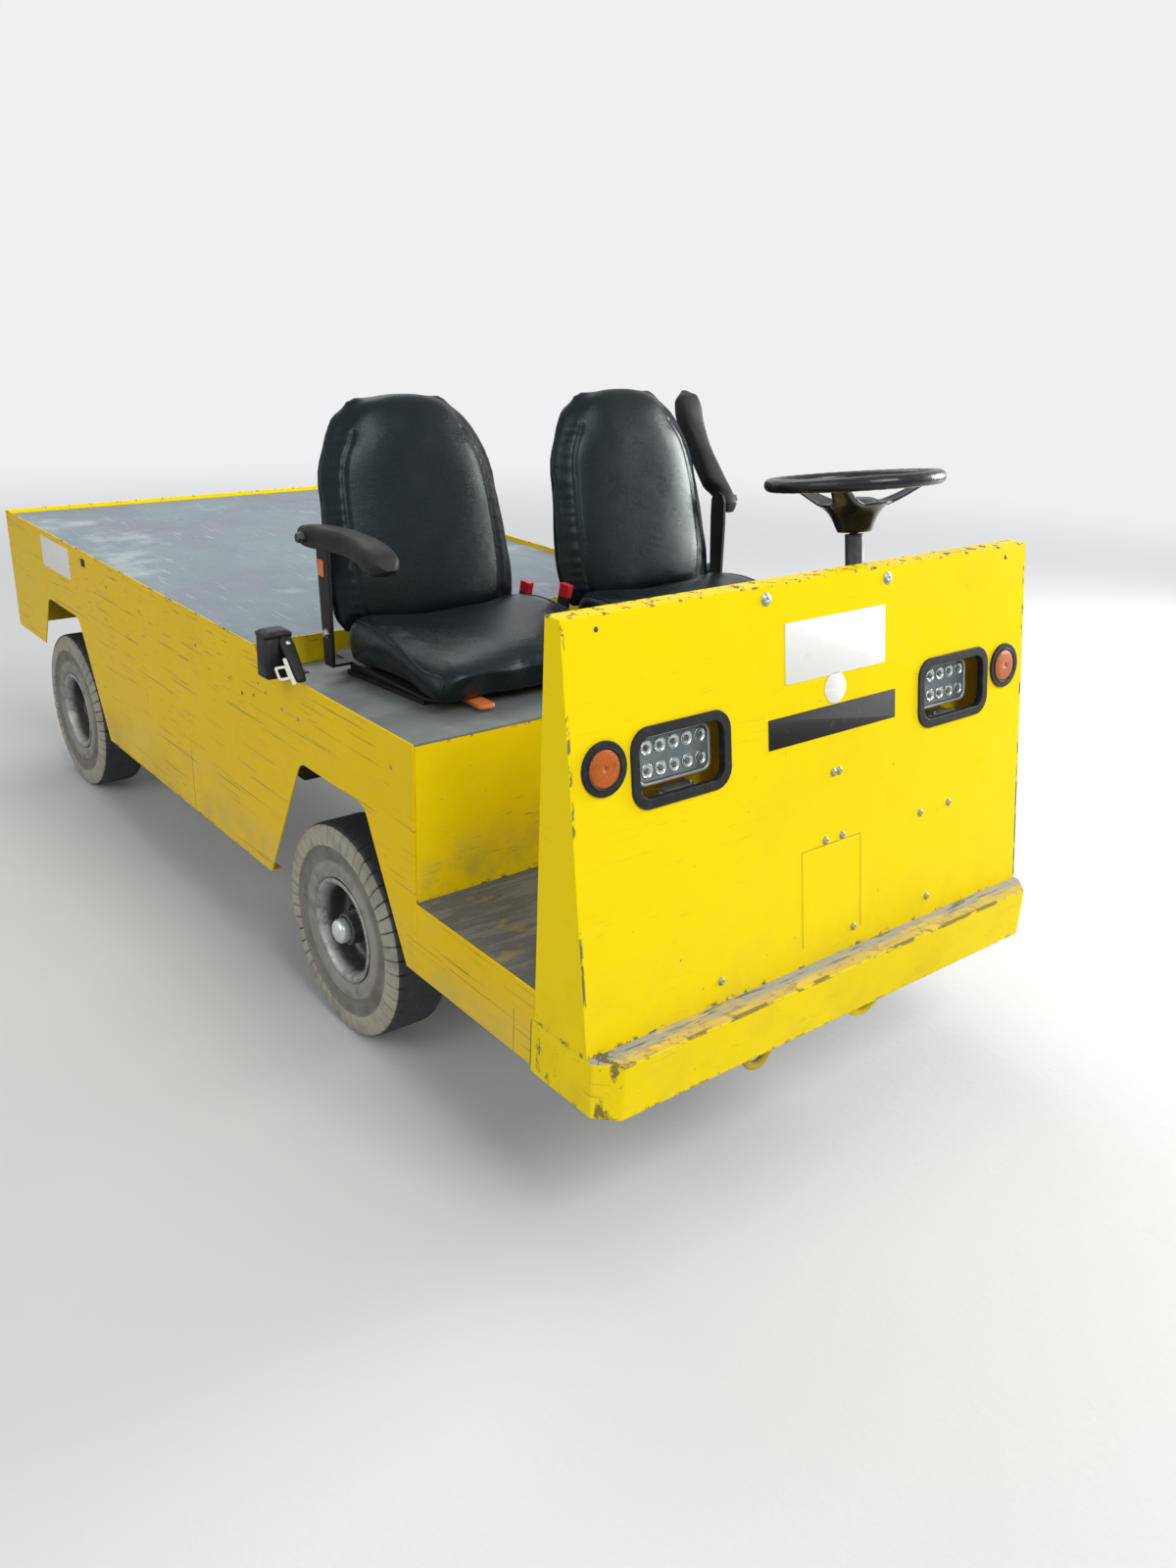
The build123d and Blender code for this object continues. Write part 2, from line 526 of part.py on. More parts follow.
# Reclined back: a tapering front outline, a crowned side view and rounded sides
RECLINE = 15
BACK_T = 84
BACK_FOOT = -50
lean_out = (0, -cos(radians(RECLINE)), sin(radians(RECLINE)))
BACK_Y = SEAT_Y - 8
BACK_Z = PAN_Z + 130
back_plane = Plane(origin=(SEAT_X, BACK_Y, BACK_Z), x_dir=(1, 0, 0), z_dir=lean_out)
front_view = symmetric([
    (-BACK_HALF + 9, BACK_FOOT), (-BACK_HALF, 30), (-BACK_HALF + 7, 190), (-BACK_HALF + 21, 290),
    (-BACK_HALF + 47, 345), (-BACK_HALF + 83, 386), (-BACK_HALF + 125, 408),
])
back = extrude(back_plane * make_face(Polyline(*front_view, close=True)), amount=-BACK_T)
side_view = [
    # depth behind the front face, height along the back
    (16, BACK_FOOT), (2, -20), (0, 60), (0, 290), (8, 360), (28, 400), (54, 409), (BACK_T - 8, 398),
    (BACK_T, 360), (BACK_T, -36), (BACK_T - 10, BACK_FOOT),
]
side_plane = Plane(
    origin=back_plane.origin - Vector(2 * CUSH_HALF, 0, 0), x_dir=-back_plane.z_dir, z_dir=(1, 0, 0),
)
back &= extrude(side_plane * make_face(Polyline(*side_view, close=True)), amount=4 * CUSH_HALF)
plan_plane = Plane(origin=back_plane.origin - back_plane.y_dir * 70, x_dir=(1, 0, 0), z_dir=back_plane.y_dir)
plan_view = symmetric([
    (-BACK_HALF + 34, BACK_T), (-BACK_HALF + 8, BACK_T - 16), (-BACK_HALF, 50), (-BACK_HALF + 4, 34),
    (-BACK_HALF + 14, 16), (-BACK_HALF + 42, 4), (-BACK_HALF + 171, 0),
])
back &= extrude(plan_plane * make_face(Polyline(*plan_view, close=True)), amount=520)
parts["seat_back_right"] = back

# Seat frame: slides on the deck, side cheeks, pan, a plate behind the back and the armrest's post
BASE_HALF = CUSH_HALF - 20
BASE_F = SEAT_Y - 330
BASE_R = SEAT_Y + 40
CHEEK_X = BASE_HALF - 20
ARM_Y = SEAT_Y + 30
ARM_Z = BACK_Z + 132
POST_X = SEAT_X - CUSH_HALF - 22
POST_T = 4
PAD_X = POST_X - POST_T - 2
PAD_W = 64
PIN_LEN = 36
ARM_PIN_R = 8
BOSS_IN_R = 21
frame = on_seat_deck(BASE_F, BASE_R, SEAT_X - BASE_HALF, SEAT_X + BASE_HALF, 8)
for x in (SEAT_X - CHEEK_X, SEAT_X + CHEEK_X):
    frame += side_plate([
        (BASE_F, deck_z(BASE_F)), (BASE_R, deck_z(BASE_R)), (BASE_R, PAN_Z - 3), (BASE_F, PAN_Z - 3),
    ], x - 15, x + 15)
frame += box(SEAT_X - BASE_HALF, SEAT_X + BASE_HALF, SEAT_Y - 350, SEAT_Y + 96, PAN_Z - PAN_T, PAN_Z)
plate_low = (PAN_Z - 3 - BACK_Z + BACK_T * sin(radians(RECLINE))) / cos(radians(RECLINE))
plate_high = 178
plate = Pos(0, (plate_low + plate_high) / 2) * Rectangle(300, plate_high - plate_low)
frame += extrude(back_plane.offset(-BACK_T) * plate, amount=-PAN_T)
frame += side_plate([
    (SEAT_Y, PAN_Z - PAN_T), (SEAT_Y + 32, PAN_Z - PAN_T), (ARM_Y + 20, ARM_Z - 40), (ARM_Y + 20, ARM_Z),
    (ARM_Y - 22, ARM_Z), (ARM_Y - 26, ARM_Z - 50),
], POST_X - POST_T, POST_X + POST_T)
frame += rod((POST_X + POST_T, ARM_Y, ARM_Z), (POST_X - POST_T, ARM_Y, ARM_Z), BOSS_IN_R)
frame += box(POST_X - POST_T, SEAT_X - BASE_HALF, SEAT_Y, SEAT_Y + 32, PAN_Z - PAN_T, PAN_Z)
frame += rod((POST_X, ARM_Y, ARM_Z), (PAD_X - PIN_LEN, ARM_Y, ARM_Z), ARM_PIN_R)
parts["seat_frame_right"] = frame

# Folding armrest: a drooping pad on the post's pin
PAD = [
    # distance in front of the pin, height above it
    (-30, -16), (-34, 4), (-24, 20), (20, 28), (120, 34), (200, 31), (242, 23), (274, 8), (286, -10), (276, -27),
    (242, -30), (205, -19), (120, -15), (20, -20), (-10, -22),
]
PAD_PLAN = [
    # distance in front of the pin, how far out from the post
    (-40, 0), (-40, 38), (60, 34), (150, 28), (236, 38), (276, 34), (288, 14),
    (288, -8), (276, -24), (236, -28), (150, -19), (60, -19), (36, -18), (34, 0),
]
pad = side_plate([(ARM_Y - ahead, ARM_Z + up) for ahead, up in PAD], PAD_X - PAD_W, PAD_X + PAD_W)
pad &= flat_plate([(PAD_X - out, ARM_Y - ahead) for ahead, out in PAD_PLAN], ARM_Z - 60, ARM_Z + 60)
pad -= rod((POST_X, ARM_Y, ARM_Z), (PAD_X - 2 * PAD_W, ARM_Y, ARM_Z), ARM_PIN_R + FIT)
parts["armrest_right"] = pad

# Driver's seat, with its armrest folded up
ARM_UP = 126
turn_over = Plane(origin=(SEAT_X, 0, 0), z_dir=(1, 0, 0))
slide = Pos(*SEAT_SHIFT)
parts["seat_cushion_left"] = slide * cushion
parts["seat_back_left"] = slide * back
parts["seat_frame_left"] = slide * mirror(frame, about=turn_over)
pin_left = Axis((0, ARM_Y + SEAT_SHIFT[1], ARM_Z + SEAT_SHIFT[2]), (1, 0, 0))
parts["armrest_left"] = (slide * mirror(pad, about=turn_over)).rotate(pin_left, -ARM_UP)

# Belt retractors, each on a bracket plate over the deck's edge
POD_Y0 = RISER_Y - 180
POD_Y1 = POD_Y0 + 50
POD_OUT = HALF + 52
POD_IN = HALF - 10
POD_Z = SEAT_EDGE_Z
POD_H = 100
LID_H = 16
pod = box(-POD_OUT, -POD_IN, POD_Y0, POD_Y1, POD_Z + 3, POD_Z + POD_H - LID_H)
pod = fillet(pod.edges().filter_by(Axis.Z), 8)
lid = box(-POD_OUT - 1, -POD_IN + 1, POD_Y0 - 1, POD_Y1 + 1, POD_Z + POD_H - LID_H - 1, POD_Z + POD_H)
lid = chamfer(lid.faces().sort_by(Axis.Z)[-1].edges(), 8)
pod += fillet(lid.edges().filter_by(Axis.Z), 6)
pod += box(-POD_OUT + 6, -HALF + 46, POD_Y0 + 8, POD_Y1 - 8, POD_Z, POD_Z + 4)
parts["belt_retractors"] = both(pod)

# Steering column
COL_X = HALF - 309
COL_FOOT_Y = COWL_REAR_Y + 37
WHEEL_Y = COL_FOOT_Y + 119
WHEEL_Z = COWL_Z + 113
COL_R = 18
SHAFT_R = 9
LEAN = atan2(WHEEL_Y - COL_FOOT_Y, WHEEL_Z - FLOOR_Z)
column_dir = Vector(0, sin(LEAN), cos(LEAN))


def on_column(below):
    """A plane across the column, that far below the middle of the wheel's rim."""
    centre = Vector(COL_X, WHEEL_Y, WHEEL_Z) - column_dir * below
    return Plane(origin=centre, x_dir=(1, 0, 0), z_dir=column_dir)


under_floor = box(COL_X - 80, COL_X + 80, DASH_Y - 40, DASH_Y + 160, FLOOR_Z - 90, FLOOR_Z)
column = extrude(on_column(100) * Circle(COL_R), amount=-680)
column += extrude(on_column(100) * Circle(SHAFT_R), amount=62)
column += extrude(on_column(770) * Circle(46), amount=34)
column -= under_floor
column -= box(COL_X - 80, COL_X + 80, DASH_Y - 40, COWL_REAR_Y, FLOOR_Z, FLOOR_Z + 200)
parts["steering_column"] = column

# Steering wheel: a dished wheel with three flat spokes
WHEEL_R = 170
GRIP_R = 13
DISH = 46
HUB_TOP_R = 30
rim_mid = WHEEL_R - GRIP_R
wheel = on_column(0) * Torus(rim_mid, GRIP_R)
spoke = Plane.XZ * make_face(Polyline(
    (10, -DISH), (10, -DISH - 8), (34, -DISH - 8), (rim_mid - 4, -9), (rim_mid - 2, 0), (36, -DISH + 2), close=True,
))
spoke = extrude(spoke, amount=15, both=True)
hub = Pos(0, 0, -DISH - 50) * extrude(Circle(35), amount=38)
hub += Pos(0, 0, -DISH - 12 + 13) * Cone(35, 52, 26)
for turn in (90, 210, 330):
    hub += Rot(0, 0, turn) * spoke
hub -= Pos(0, 0, -110) * extrude(Circle(SHAFT_R + FIT), amount=72.5)
wheel += on_column(0) * hub
parts["steering_wheel"] = wheel

# Pedals hung from the dash panel
PEDAL_Z = FLOOR_Z + 110
PEDALS = [
    dict(x=COL_X - 100, width=70),
    dict(x=COL_X + 100, width=56),
]
pedals = []
for p in PEDALS:
    x = p["x"]
    lever = box(x - 6, x + 6, COWL_REAR_Y, COWL_REAR_Y + 66, PEDAL_Z, PEDAL_Z + 12)
    pad = side_plate([
        (COWL_REAR_Y + 50, PEDAL_Z + 40), (COWL_REAR_Y + 59, PEDAL_Z + 40),
        (COWL_REAR_Y + 90, PEDAL_Z - 60), (COWL_REAR_Y + 81, PEDAL_Z - 60),
    ], x - p["width"] / 2, x + p["width"] / 2)
    pedals.append(lever + pad)
parts["pedals"] = group(pedals)

# Switches and charge gauge on the dash panel
CONTROLS = [
    dict(x=COL_X + 120, z=COWL_Z - 70, r=16, out=22),
    dict(x=COL_X + 190, z=COWL_Z - 70, r=12, out=28),
    dict(x=COL_X - 130, z=COWL_Z - 70, r=27, out=8),
]
parts["dash_controls"] = group([
    rod((c["x"], COWL_REAR_Y, c["z"]), (c["x"], COWL_REAR_Y + c["out"], c["z"]), c["r"]) for c in CONTROLS
])

# Belt buckles at the seats' inner corners, on short stalks from the pans
BUCKLE_W = 14
BUCKLE_X = SEAT_X + BACK_HALF + 3
buckle = side_plate([
    (BASE_R - 30, PAN_Z - PAN_T), (BASE_R - 4, PAN_Z - PAN_T), (BASE_R - 28, PAN_Z + 120), (BASE_R - 60, PAN_Z + 118),
], BUCKLE_X, BUCKLE_X + BUCKLE_W)
buckle += box(
    SEAT_X + BASE_HALF, BUCKLE_X + BUCKLE_W, BASE_R - 28, BASE_R - 6, PAN_Z - PAN_T, PAN_Z - 1,
)
parts["belt_buckles"] = group([buckle, slide * mirror(buckle, about=turn_over)])

# Export
for name, shape in parts.items():
    placed = shape.moved(Location((0, -LENGTH / 2, 0)))
    export_step(placed, "parts/" + name + ".step")
    size = placed.bounding_box().size
    print(f"{name:20s} {size.X:7.1f} x {size.Y:7.1f} x {size.Z:7.1f} mm")
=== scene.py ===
# %% [markdown]
# # A flat-deck electric utility vehicle
# The solid model of the vehicle is already made and packed. This script dresses it in Blender:
# it loads those solids as a fixed frame, gives each one a worn finish, and builds in mesh code
# what the solids leave plain: tyre lugs, padded seats, lamps, bolts and seams.
# Everything is in metres. X runs across the vehicle, Y from front to back and Z up.

# %% Load the frame
import math

import bmesh
import bpy
import numpy
from mathutils import Matrix, Vector, noise
from mathutils.bvhtree import BVHTree


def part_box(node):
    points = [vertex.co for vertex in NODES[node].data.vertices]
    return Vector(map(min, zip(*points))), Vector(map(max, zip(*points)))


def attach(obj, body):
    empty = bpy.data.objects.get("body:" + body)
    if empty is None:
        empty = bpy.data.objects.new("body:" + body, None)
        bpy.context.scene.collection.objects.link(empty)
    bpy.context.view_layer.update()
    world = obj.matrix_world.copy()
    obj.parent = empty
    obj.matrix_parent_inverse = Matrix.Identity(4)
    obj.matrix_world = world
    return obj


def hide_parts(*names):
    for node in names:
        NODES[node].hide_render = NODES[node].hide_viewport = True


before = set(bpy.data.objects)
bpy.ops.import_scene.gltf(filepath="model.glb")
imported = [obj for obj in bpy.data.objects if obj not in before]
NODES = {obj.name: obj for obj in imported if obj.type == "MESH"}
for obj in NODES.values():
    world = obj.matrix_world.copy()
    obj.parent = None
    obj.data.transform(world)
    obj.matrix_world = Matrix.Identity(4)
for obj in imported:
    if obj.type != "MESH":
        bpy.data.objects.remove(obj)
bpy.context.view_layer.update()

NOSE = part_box("front_bumper")[0][1]

# %% [markdown]
# ## Camera
# The photograph was taken with a phone held at head height in front of the passenger's corner.
# Its position, heading, tilt and roll were fitted to the edges of the deck and the cowl, so the
# camera is set from those four numbers. The lens goes with the 36 mm side of the sensor, which
# is the frame's long side.

# %% Camera
CAMERA_AT = Vector((-1.6715, NOSE - 1.2504, 1.5570))
HEADING = math.radians(39.52)
TILT = math.radians(-22.09)
ROLL = math.radians(2.28)
LENS = 29.2


def look(heading, tilt, roll):
    """The camera's turn for a heading from +Y towards +X, a tilt above the horizon and a roll."""
    ahead = Vector((math.sin(heading) * math.cos(tilt), math.cos(heading) * math.cos(tilt), math.sin(tilt)))
    right = ahead.cross(Vector((0, 0, 1))).normalized()
    up = right.cross(ahead)
    side = right * math.cos(roll) + up * math.sin(roll)
    top = up * math.cos(roll) - right * math.sin(roll)
    return Matrix((side, top, -ahead)).transposed()


camera = bpy.data.objects.new("camera", bpy.data.cameras.new("camera"))
bpy.context.collection.objects.link(camera)
camera.matrix_world = Matrix.Translation(CAMERA_AT) @ look(HEADING, TILT, ROLL).to_4x4()
camera.data.lens = LENS
bpy.context.scene.camera = camera
print("camera", [round(v, 2) for v in CAMERA_AT], "lens", LENS)

# %% [markdown]
# ## Light and floor
# A worn machine is best judged in plain, soft light: one large panel for the key on the driver's
# side, where the sheen on the seats is in the photograph, a weaker one opposite, and an even
# sky. Camera and mirror rays see a paler sky than the one that lights the object, so that the
# background is pale without more light.

# %% Light and floor
SKY_LIGHT = 0.36
SKY_SEEN = (0.86, 0.87, 0.88, 1)


def area_light(name, place, target, size, watts):
    """A square soft light at a place, facing the target."""
    light = bpy.data.lights.new(name, "AREA")
    light.size = size
    light.energy = watts
    lamp = bpy.data.objects.new(name, light)
    bpy.context.collection.objects.link(lamp)
    lamp.location = place
    lamp.rotation_euler = (Vector(target) - Vector(place)).to_track_quat("-Z", "Y").to_euler()
    return lamp


area_light("key", (-0.4, -5.8, 5.4), (0, -0.6, 0.6), 3.2, 288)
area_light("sheen", (5.2, -1.9, 1.9), (0, -0.4, 0.9), 2.0, 385)
area_light("fill", (-5.4, -0.6, 3.6), (0, 0, 0.5), 4.0, 106)
area_light("top", (0.8, 2.6, 5.0), (0, 0.5, 0.6), 3.5, 106)

world = bpy.data.worlds.new("studio")
bpy.context.scene.world = world
world.use_nodes = True
sky = world.node_tree.nodes
sky_links = world.node_tree.links
seen = sky.new("ShaderNodeBackground")
seen.inputs["Color"].default_value = SKY_SEEN
sky["Background"].inputs["Color"].default_value = (0.95, 0.97, 1.0, 1)
sky["Background"].inputs["Strength"].default_value = SKY_LIGHT
rays = sky.new("ShaderNodeLightPath")
either = sky.new("ShaderNodeMath")
either.operation = "MAXIMUM"
any_view = sky.new("ShaderNodeMath")
any_view.operation = "MAXIMUM"
pick = sky.new("ShaderNodeMixShader")
sky_links.new(rays.outputs["Is Camera Ray"], either.inputs[0])
sky_links.new(rays.outputs["Is Glossy Ray"], either.inputs[1])
sky_links.new(either.outputs[0], any_view.inputs[0])
sky_links.new(rays.outputs["Is Transmission Ray"], any_view.inputs[1])
sky_links.new(any_view.outputs[0], pick.inputs[0])
sky_links.new(sky["Background"].outputs[0], pick.inputs[1])
sky_links.new(seen.outputs[0], pick.inputs[2])
sky_links.new(pick.outputs[0], sky["World Output"].inputs["Surface"])
bpy.context.scene.view_settings.view_transform = "Standard"

# %% [markdown]
# ## A small kit for finishes
# Every finish here is a procedural material. The class below keeps the node work short: it holds
# one material and offers the few moves that worn surfaces need, such as noise in the object's
# own metres, a soft threshold that turns noise into patches, and bump that stacks.

# %% A small kit for finishes
class Finish:
    """One procedural material, built a node at a time in the object's own metres."""

    def __init__(self, name, color, roughness, metallic=0.0, **sockets):
        self.material = bpy.data.materials.new(name)
        self.material.use_nodes = True
        self.tree = self.material.node_tree
        self.shader = self.tree.nodes["Principled BSDF"]
        self.place = self.add("ShaderNodeTexCoord").outputs["Object"]
        self.material.diffuse_color = (*color, 1)
        self.tint = color
        self.shader.inputs["Base Color"].default_value = (*color, 1)
        self.shader.inputs["Roughness"].default_value = roughness
        self.shader.inputs["Metallic"].default_value = metallic
        for socket, value in sockets.items():
            self.shader.inputs[socket.replace("_", " ")].default_value = value

    def add(self, kind, **settings):
        node = self.tree.nodes.new(kind)
        for key, value in settings.items():
            setattr(node, key, value)
        return node

    def feed(self, socket, value):
        """Puts a number, a colour or another node's output into a socket."""
        if isinstance(value, bpy.types.NodeSocket):
            self.tree.links.new(value, socket)
        elif isinstance(value, tuple) and len(value) == 3 and socket.type == "RGBA":
            socket.default_value = (*value, 1)
        else:
            socket.default_value = value

    def stretched(self, scale):
        """The object's own place with each axis scaled, so that marks can run along one axis."""
        node = self.add("ShaderNodeVectorMath", operation="MULTIPLY")
        self.feed(node.inputs[0], self.place)
        node.inputs[1].default_value = scale
        return node.outputs[0]

    def noise(self, scale, detail=4.0, roughness=0.55, along=None, shift=0.0):
        node = self.add("ShaderNodeTexNoise", noise_dimensions="4D")
        self.feed(node.inputs["Vector"], self.stretched(along) if along else self.place)
        self.feed(node.inputs["W"], shift)
        self.feed(node.inputs["Scale"], scale)
        self.feed(node.inputs["Detail"], detail)
        self.feed(node.inputs["Roughness"], roughness)
        return node.outputs["Fac"]

    def cells(self, scale, along=None, feature="F1"):
        node = self.add("ShaderNodeTexVoronoi", feature=feature)
        self.feed(node.inputs["Vector"], self.stretched(along) if along else self.place)
        self.feed(node.inputs["Scale"], scale)
        return node.outputs["Distance"]

    def band(self, value, low, high, start=0.0, end=1.0):
        """A soft step: start below low, end above high."""
        node = self.add("ShaderNodeMapRange", interpolation_type="SMOOTHSTEP")
        self.feed(node.inputs["Value"], value)
        self.feed(node.inputs["From Min"], low)
        self.feed(node.inputs["From Max"], high)
        self.feed(node.inputs["To Min"], start)
        self.feed(node.inputs["To Max"], end)
        return node.outputs["Result"]

    def math(self, operation, a, b=0.0):
        node = self.add("ShaderNodeMath", operation=operation)
        self.feed(node.inputs[0], a)
        self.feed(node.inputs[1], b)
        return node.outputs[0]

    def both(self, a, b):
        return self.math("MULTIPLY", a, b)

    def axis(self, letter):
        node = self.add("ShaderNodeSeparateXYZ")
        self.feed(node.inputs[0], self.place)
        return node.outputs[letter]

    def facing(self, letter):
        """How far the surface faces along an axis, from -1 to 1."""
        node = self.add("ShaderNodeSeparateXYZ")
        self.feed(node.inputs[0], self.add("ShaderNodeNewGeometry").outputs["Normal"])
        return node.outputs[letter]

    def blend(self, mask, under, over):
        node = self.add("ShaderNodeMix", data_type="RGBA")
        self.feed(node.inputs["Factor"], mask)
        self.feed(node.inputs["A"], under)
        self.feed(node.inputs["B"], over)
        return node.outputs["Result"]

    def paint(self, mask, over):
        """Lays another colour over what the surface has so far."""
        self.tint = self.blend(mask, self.tint, over)
        self.feed(self.shader.inputs["Base Color"], self.tint)
        return self

    def roughen(self, mask, low, high):
        self.feed(self.shader.inputs["Roughness"], self.band(mask, 0.0, 1.0, low, high))
        return self

    def bump(self, height, distance):
        """Adds relief that deep, in metres, on top of earlier relief."""
        node = self.add("ShaderNodeBump")
        self.feed(node.inputs["Height"], height)
        self.feed(node.inputs["Distance"], distance)
        if self.shader.inputs["Normal"].links:
            self.feed(node.inputs["Normal"], self.shader.inputs["Normal"].links[0].from_socket)
        self.feed(self.shader.inputs["Normal"], node.outputs["Normal"])
        return self


print("finish kit ready")

# %% [markdown]
# ## Yellow enamel
# The body is sheet steel sprayed in gloss yellow. Years of use show as fine specks, long
# scratches along the sides, brown dirt that creeps up from the lower edges, and chips down to
# dark steel at the top edges. Each is its own mask of stretched noise, limited by height, so the
# wear falls where hands, loads and wheels reach it.

# %% Yellow enamel
YELLOW = (0.84, 0.630, 0.003)
# SHADED_SIDE_YELLOW is the body's yellow enamel made darker for the side sheets: painted shade.
SHADED_SIDE_YELLOW = (0.78, 0.520, 0.004)
GRIME = (0.30, 0.22, 0.09)
BARE = (0.075, 0.07, 0.062)


def enamel(name, low_edge, top_edge, tone=YELLOW, scratch=1.0, chips=1.0, grime=1.0, dirt_tone=GRIME):
    """Worn yellow paint for a sheet that spans these heights."""
    f = Finish(name, tone, 0.30, Specular_IOR_Level=0.045)
    f.paint(f.band(f.noise(2.6, 5), 0.46, 0.70, 0.0, 0.40), tuple(0.80 * c for c in tone))
    height = f.axis("Z")
    low = f.band(height, low_edge + 0.16, low_edge, 0.0, 1.0)
    dirt = f.both(low, f.band(f.noise(7, 7, 0.62), 0.40, 0.66))
    f.paint(f.both(dirt, 0.62 * grime), dirt_tone)
    streak = f.band(f.noise(6, 6, 0.6, along=(2.0, 2.0, 26.0)), 0.605, 0.64)
    where = f.band(f.noise(2.1, 3, shift=4.0), 0.46, 0.62)
    f.paint(f.both(f.both(streak, where), 0.75 * scratch), (0.16, 0.13, 0.06))
    hair = f.band(f.noise(9, 3, 0.5, along=(8.0, 1.2, 60.0), shift=2.0), 0.655, 0.675)
    f.paint(f.both(hair, 0.55 * scratch), (0.50, 0.42, 0.22))
    speck = f.band(f.noise(95, 2, 0.5), 0.735, 0.76)
    f.paint(f.both(speck, 0.8), (0.12, 0.10, 0.06))
    rim = f.math("MAXIMUM", f.band(height, top_edge - 0.0055, top_edge - 0.0008), f.band(height, low_edge + 0.010, low_edge))
    chip = f.both(rim, f.band(f.noise(46, 7, 0.70), 0.545, 0.575))
    f.paint(f.both(chip, 0.92 * chips), BARE)
    f.roughen(f.math("ADD", dirt, f.both(f.noise(5, 3), 0.55)), 0.22, 0.62)
    f.bump(f.noise(420, 2), 0.00004)
    f.bump(f.noise(4.5, 2), 0.0025)
    f.bump(f.math("SUBTRACT", 1.0, chip), 0.0003)
    return f


def extent(node):
    low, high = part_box(node)
    return low[2], high[2]


def dress(node, finish, edge=0.0):
    """Gives a solid node its finish, and rounds its sharp edges by that much."""
    thing = NODES[node]
    thing.data.materials.clear()
    thing.data.materials.append(finish.material)
    if edge:
        weld = thing.modifiers.new("weld", "WELD")
        weld.merge_threshold = 0.00002
        flat = thing.modifiers.new("whole_faces", "DECIMATE")
        flat.decimate_type = "DISSOLVE"
        flat.angle_limit = math.radians(0.3)
        bevel = thing.modifiers.new("soft_edges", "BEVEL")
        bevel.width = edge
        bevel.segments = 2
        bevel.limit_method = "ANGLE"
        bevel.angle_limit = math.radians(40)
    return thing


# The side sheets get a darker copy of the yellow enamel as painted shade.
side_paint = enamel("enamel_sides", *extent("side_panel_right"), tone=SHADED_SIDE_YELLOW, dirt_tone=(0.50, 0.37, 0.15))
drag = side_paint.band(side_paint.noise(7, 5, 0.55, along=(1.0, 0.35, 26.0), shift=6.0), 0.615, 0.632)
side_paint.paint(side_paint.both(drag, 0.75), (0.20, 0.14, 0.05))
rub = side_paint.both(side_paint.band(side_paint.axis("Z"), 0.52, 0.30), side_paint.band(side_paint.noise(4, 6, 0.6, along=(1.0, 0.7, 2.0), shift=9.0), 0.42, 0.68))
side_paint.paint(side_paint.both(rub, 0.45), (0.62, 0.44, 0.13))
for node in ("side_panel_right", "side_panel_left"):
    dress(node, side_paint, 0.0016)
dress("rear_panel", enamel("enamel_rear", *extent("rear_panel")), 0.0012)
cowl_paint = enamel("enamel_cowl", *extent("front_cowl"), scratch=0.14, grime=0.25)
cowl_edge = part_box("front_cowl")[1][0]
upright = cowl_paint.both(
    cowl_paint.band(cowl_paint.math("ABSOLUTE", cowl_paint.axis("X")), cowl_edge - 0.0075, cowl_edge - 0.0035),
    cowl_paint.band(cowl_paint.facing("Y"), -0.3, -0.6),
)
knocks = cowl_paint.band(cowl_paint.noise(34, 7, 0.70, along=(1.0, 1.0, 0.45), shift=7.0), 0.50, 0.54)
cowl_paint.paint(cowl_paint.both(cowl_paint.both(upright, knocks), 0.85), BARE)
dress("front_cowl", cowl_paint, 0.0018)
dress("seat_box_front", enamel("enamel_seat_box", *extent("seat_box_front")), 0.001)
dress("deck_riser", enamel("enamel_riser", *extent("deck_riser")), 0.001)
dress("dash_panel", enamel("enamel_dash", *extent("dash_panel"), scratch=0.6, chips=0.3))
dress("tow_hooks", enamel("enamel_hooks", *extent("tow_hooks")))
print("enamelled nodes: 8")

# %% [markdown]
# ## Bumper
# People step on the bumper and it meets walls, so its top flange is rubbed to bare grey steel,
# with yellow left only in patches. The same enamel gets one more mask: surfaces that face up.

# %% Bumper
bumper_paint = enamel("enamel_bumper", *extent("front_bumper"), scratch=0.6, chips=0.8, grime=0.30)
tread_line = bumper_paint.band(bumper_paint.axis("Y"), NOSE + 0.010, NOSE + 0.034, 0.10, 1.0)
flange = bumper_paint.both(bumper_paint.band(bumper_paint.facing("Z"), 0.6, 0.85), bumper_paint.band(bumper_paint.noise(9, 5, 0.6, shift=2.0), 0.30, 0.55, 0.25, 0.75))
bumper_paint.paint(flange, (0.50, 0.36, 0.11))
worn_top = bumper_paint.both(
    bumper_paint.both(tread_line, bumper_paint.band(bumper_paint.facing("Z"), 0.6, 0.85)),
    bumper_paint.band(bumper_paint.noise(11, 6, 0.6, along=(0.5, 2.4, 1.0)), 0.36, 0.50),
)
bumper_paint.paint(worn_top, (0.33, 0.33, 0.30))
bumper_paint.paint(
    bumper_paint.both(worn_top, bumper_paint.band(bumper_paint.noise(40, 5, along=(0.3, 3, 1)), 0.55, 0.62)),
    (0.13, 0.12, 0.10),
)
corner = bumper_paint.band(bumper_paint.math("ABSOLUTE", bumper_paint.axis("X")), 0.515, 0.545)
scuffed = bumper_paint.both(corner, bumper_paint.band(bumper_paint.noise(30, 6, 0.7, along=(1.0, 1.0, 0.4), shift=3.0), 0.54, 0.60))
bumper_paint.paint(bumper_paint.both(scuffed, 0.85), (0.10, 0.085, 0.05))
crease = bumper_paint.both(bumper_paint.band(bumper_paint.axis("Z"), 0.3905, 0.3925), bumper_paint.band(bumper_paint.axis("Y"), NOSE + 0.008, NOSE + 0.004))
rubbed = bumper_paint.band(bumper_paint.noise(14, 6, 0.65, along=(1.0, 1.0, 3.0), shift=5.0), 0.50, 0.56)
bumper_paint.paint(bumper_paint.both(bumper_paint.both(crease, rubbed), 0.8), (0.13, 0.11, 0.06))
dress("front_bumper", bumper_paint, 0.0025)
print("bumper dressed")

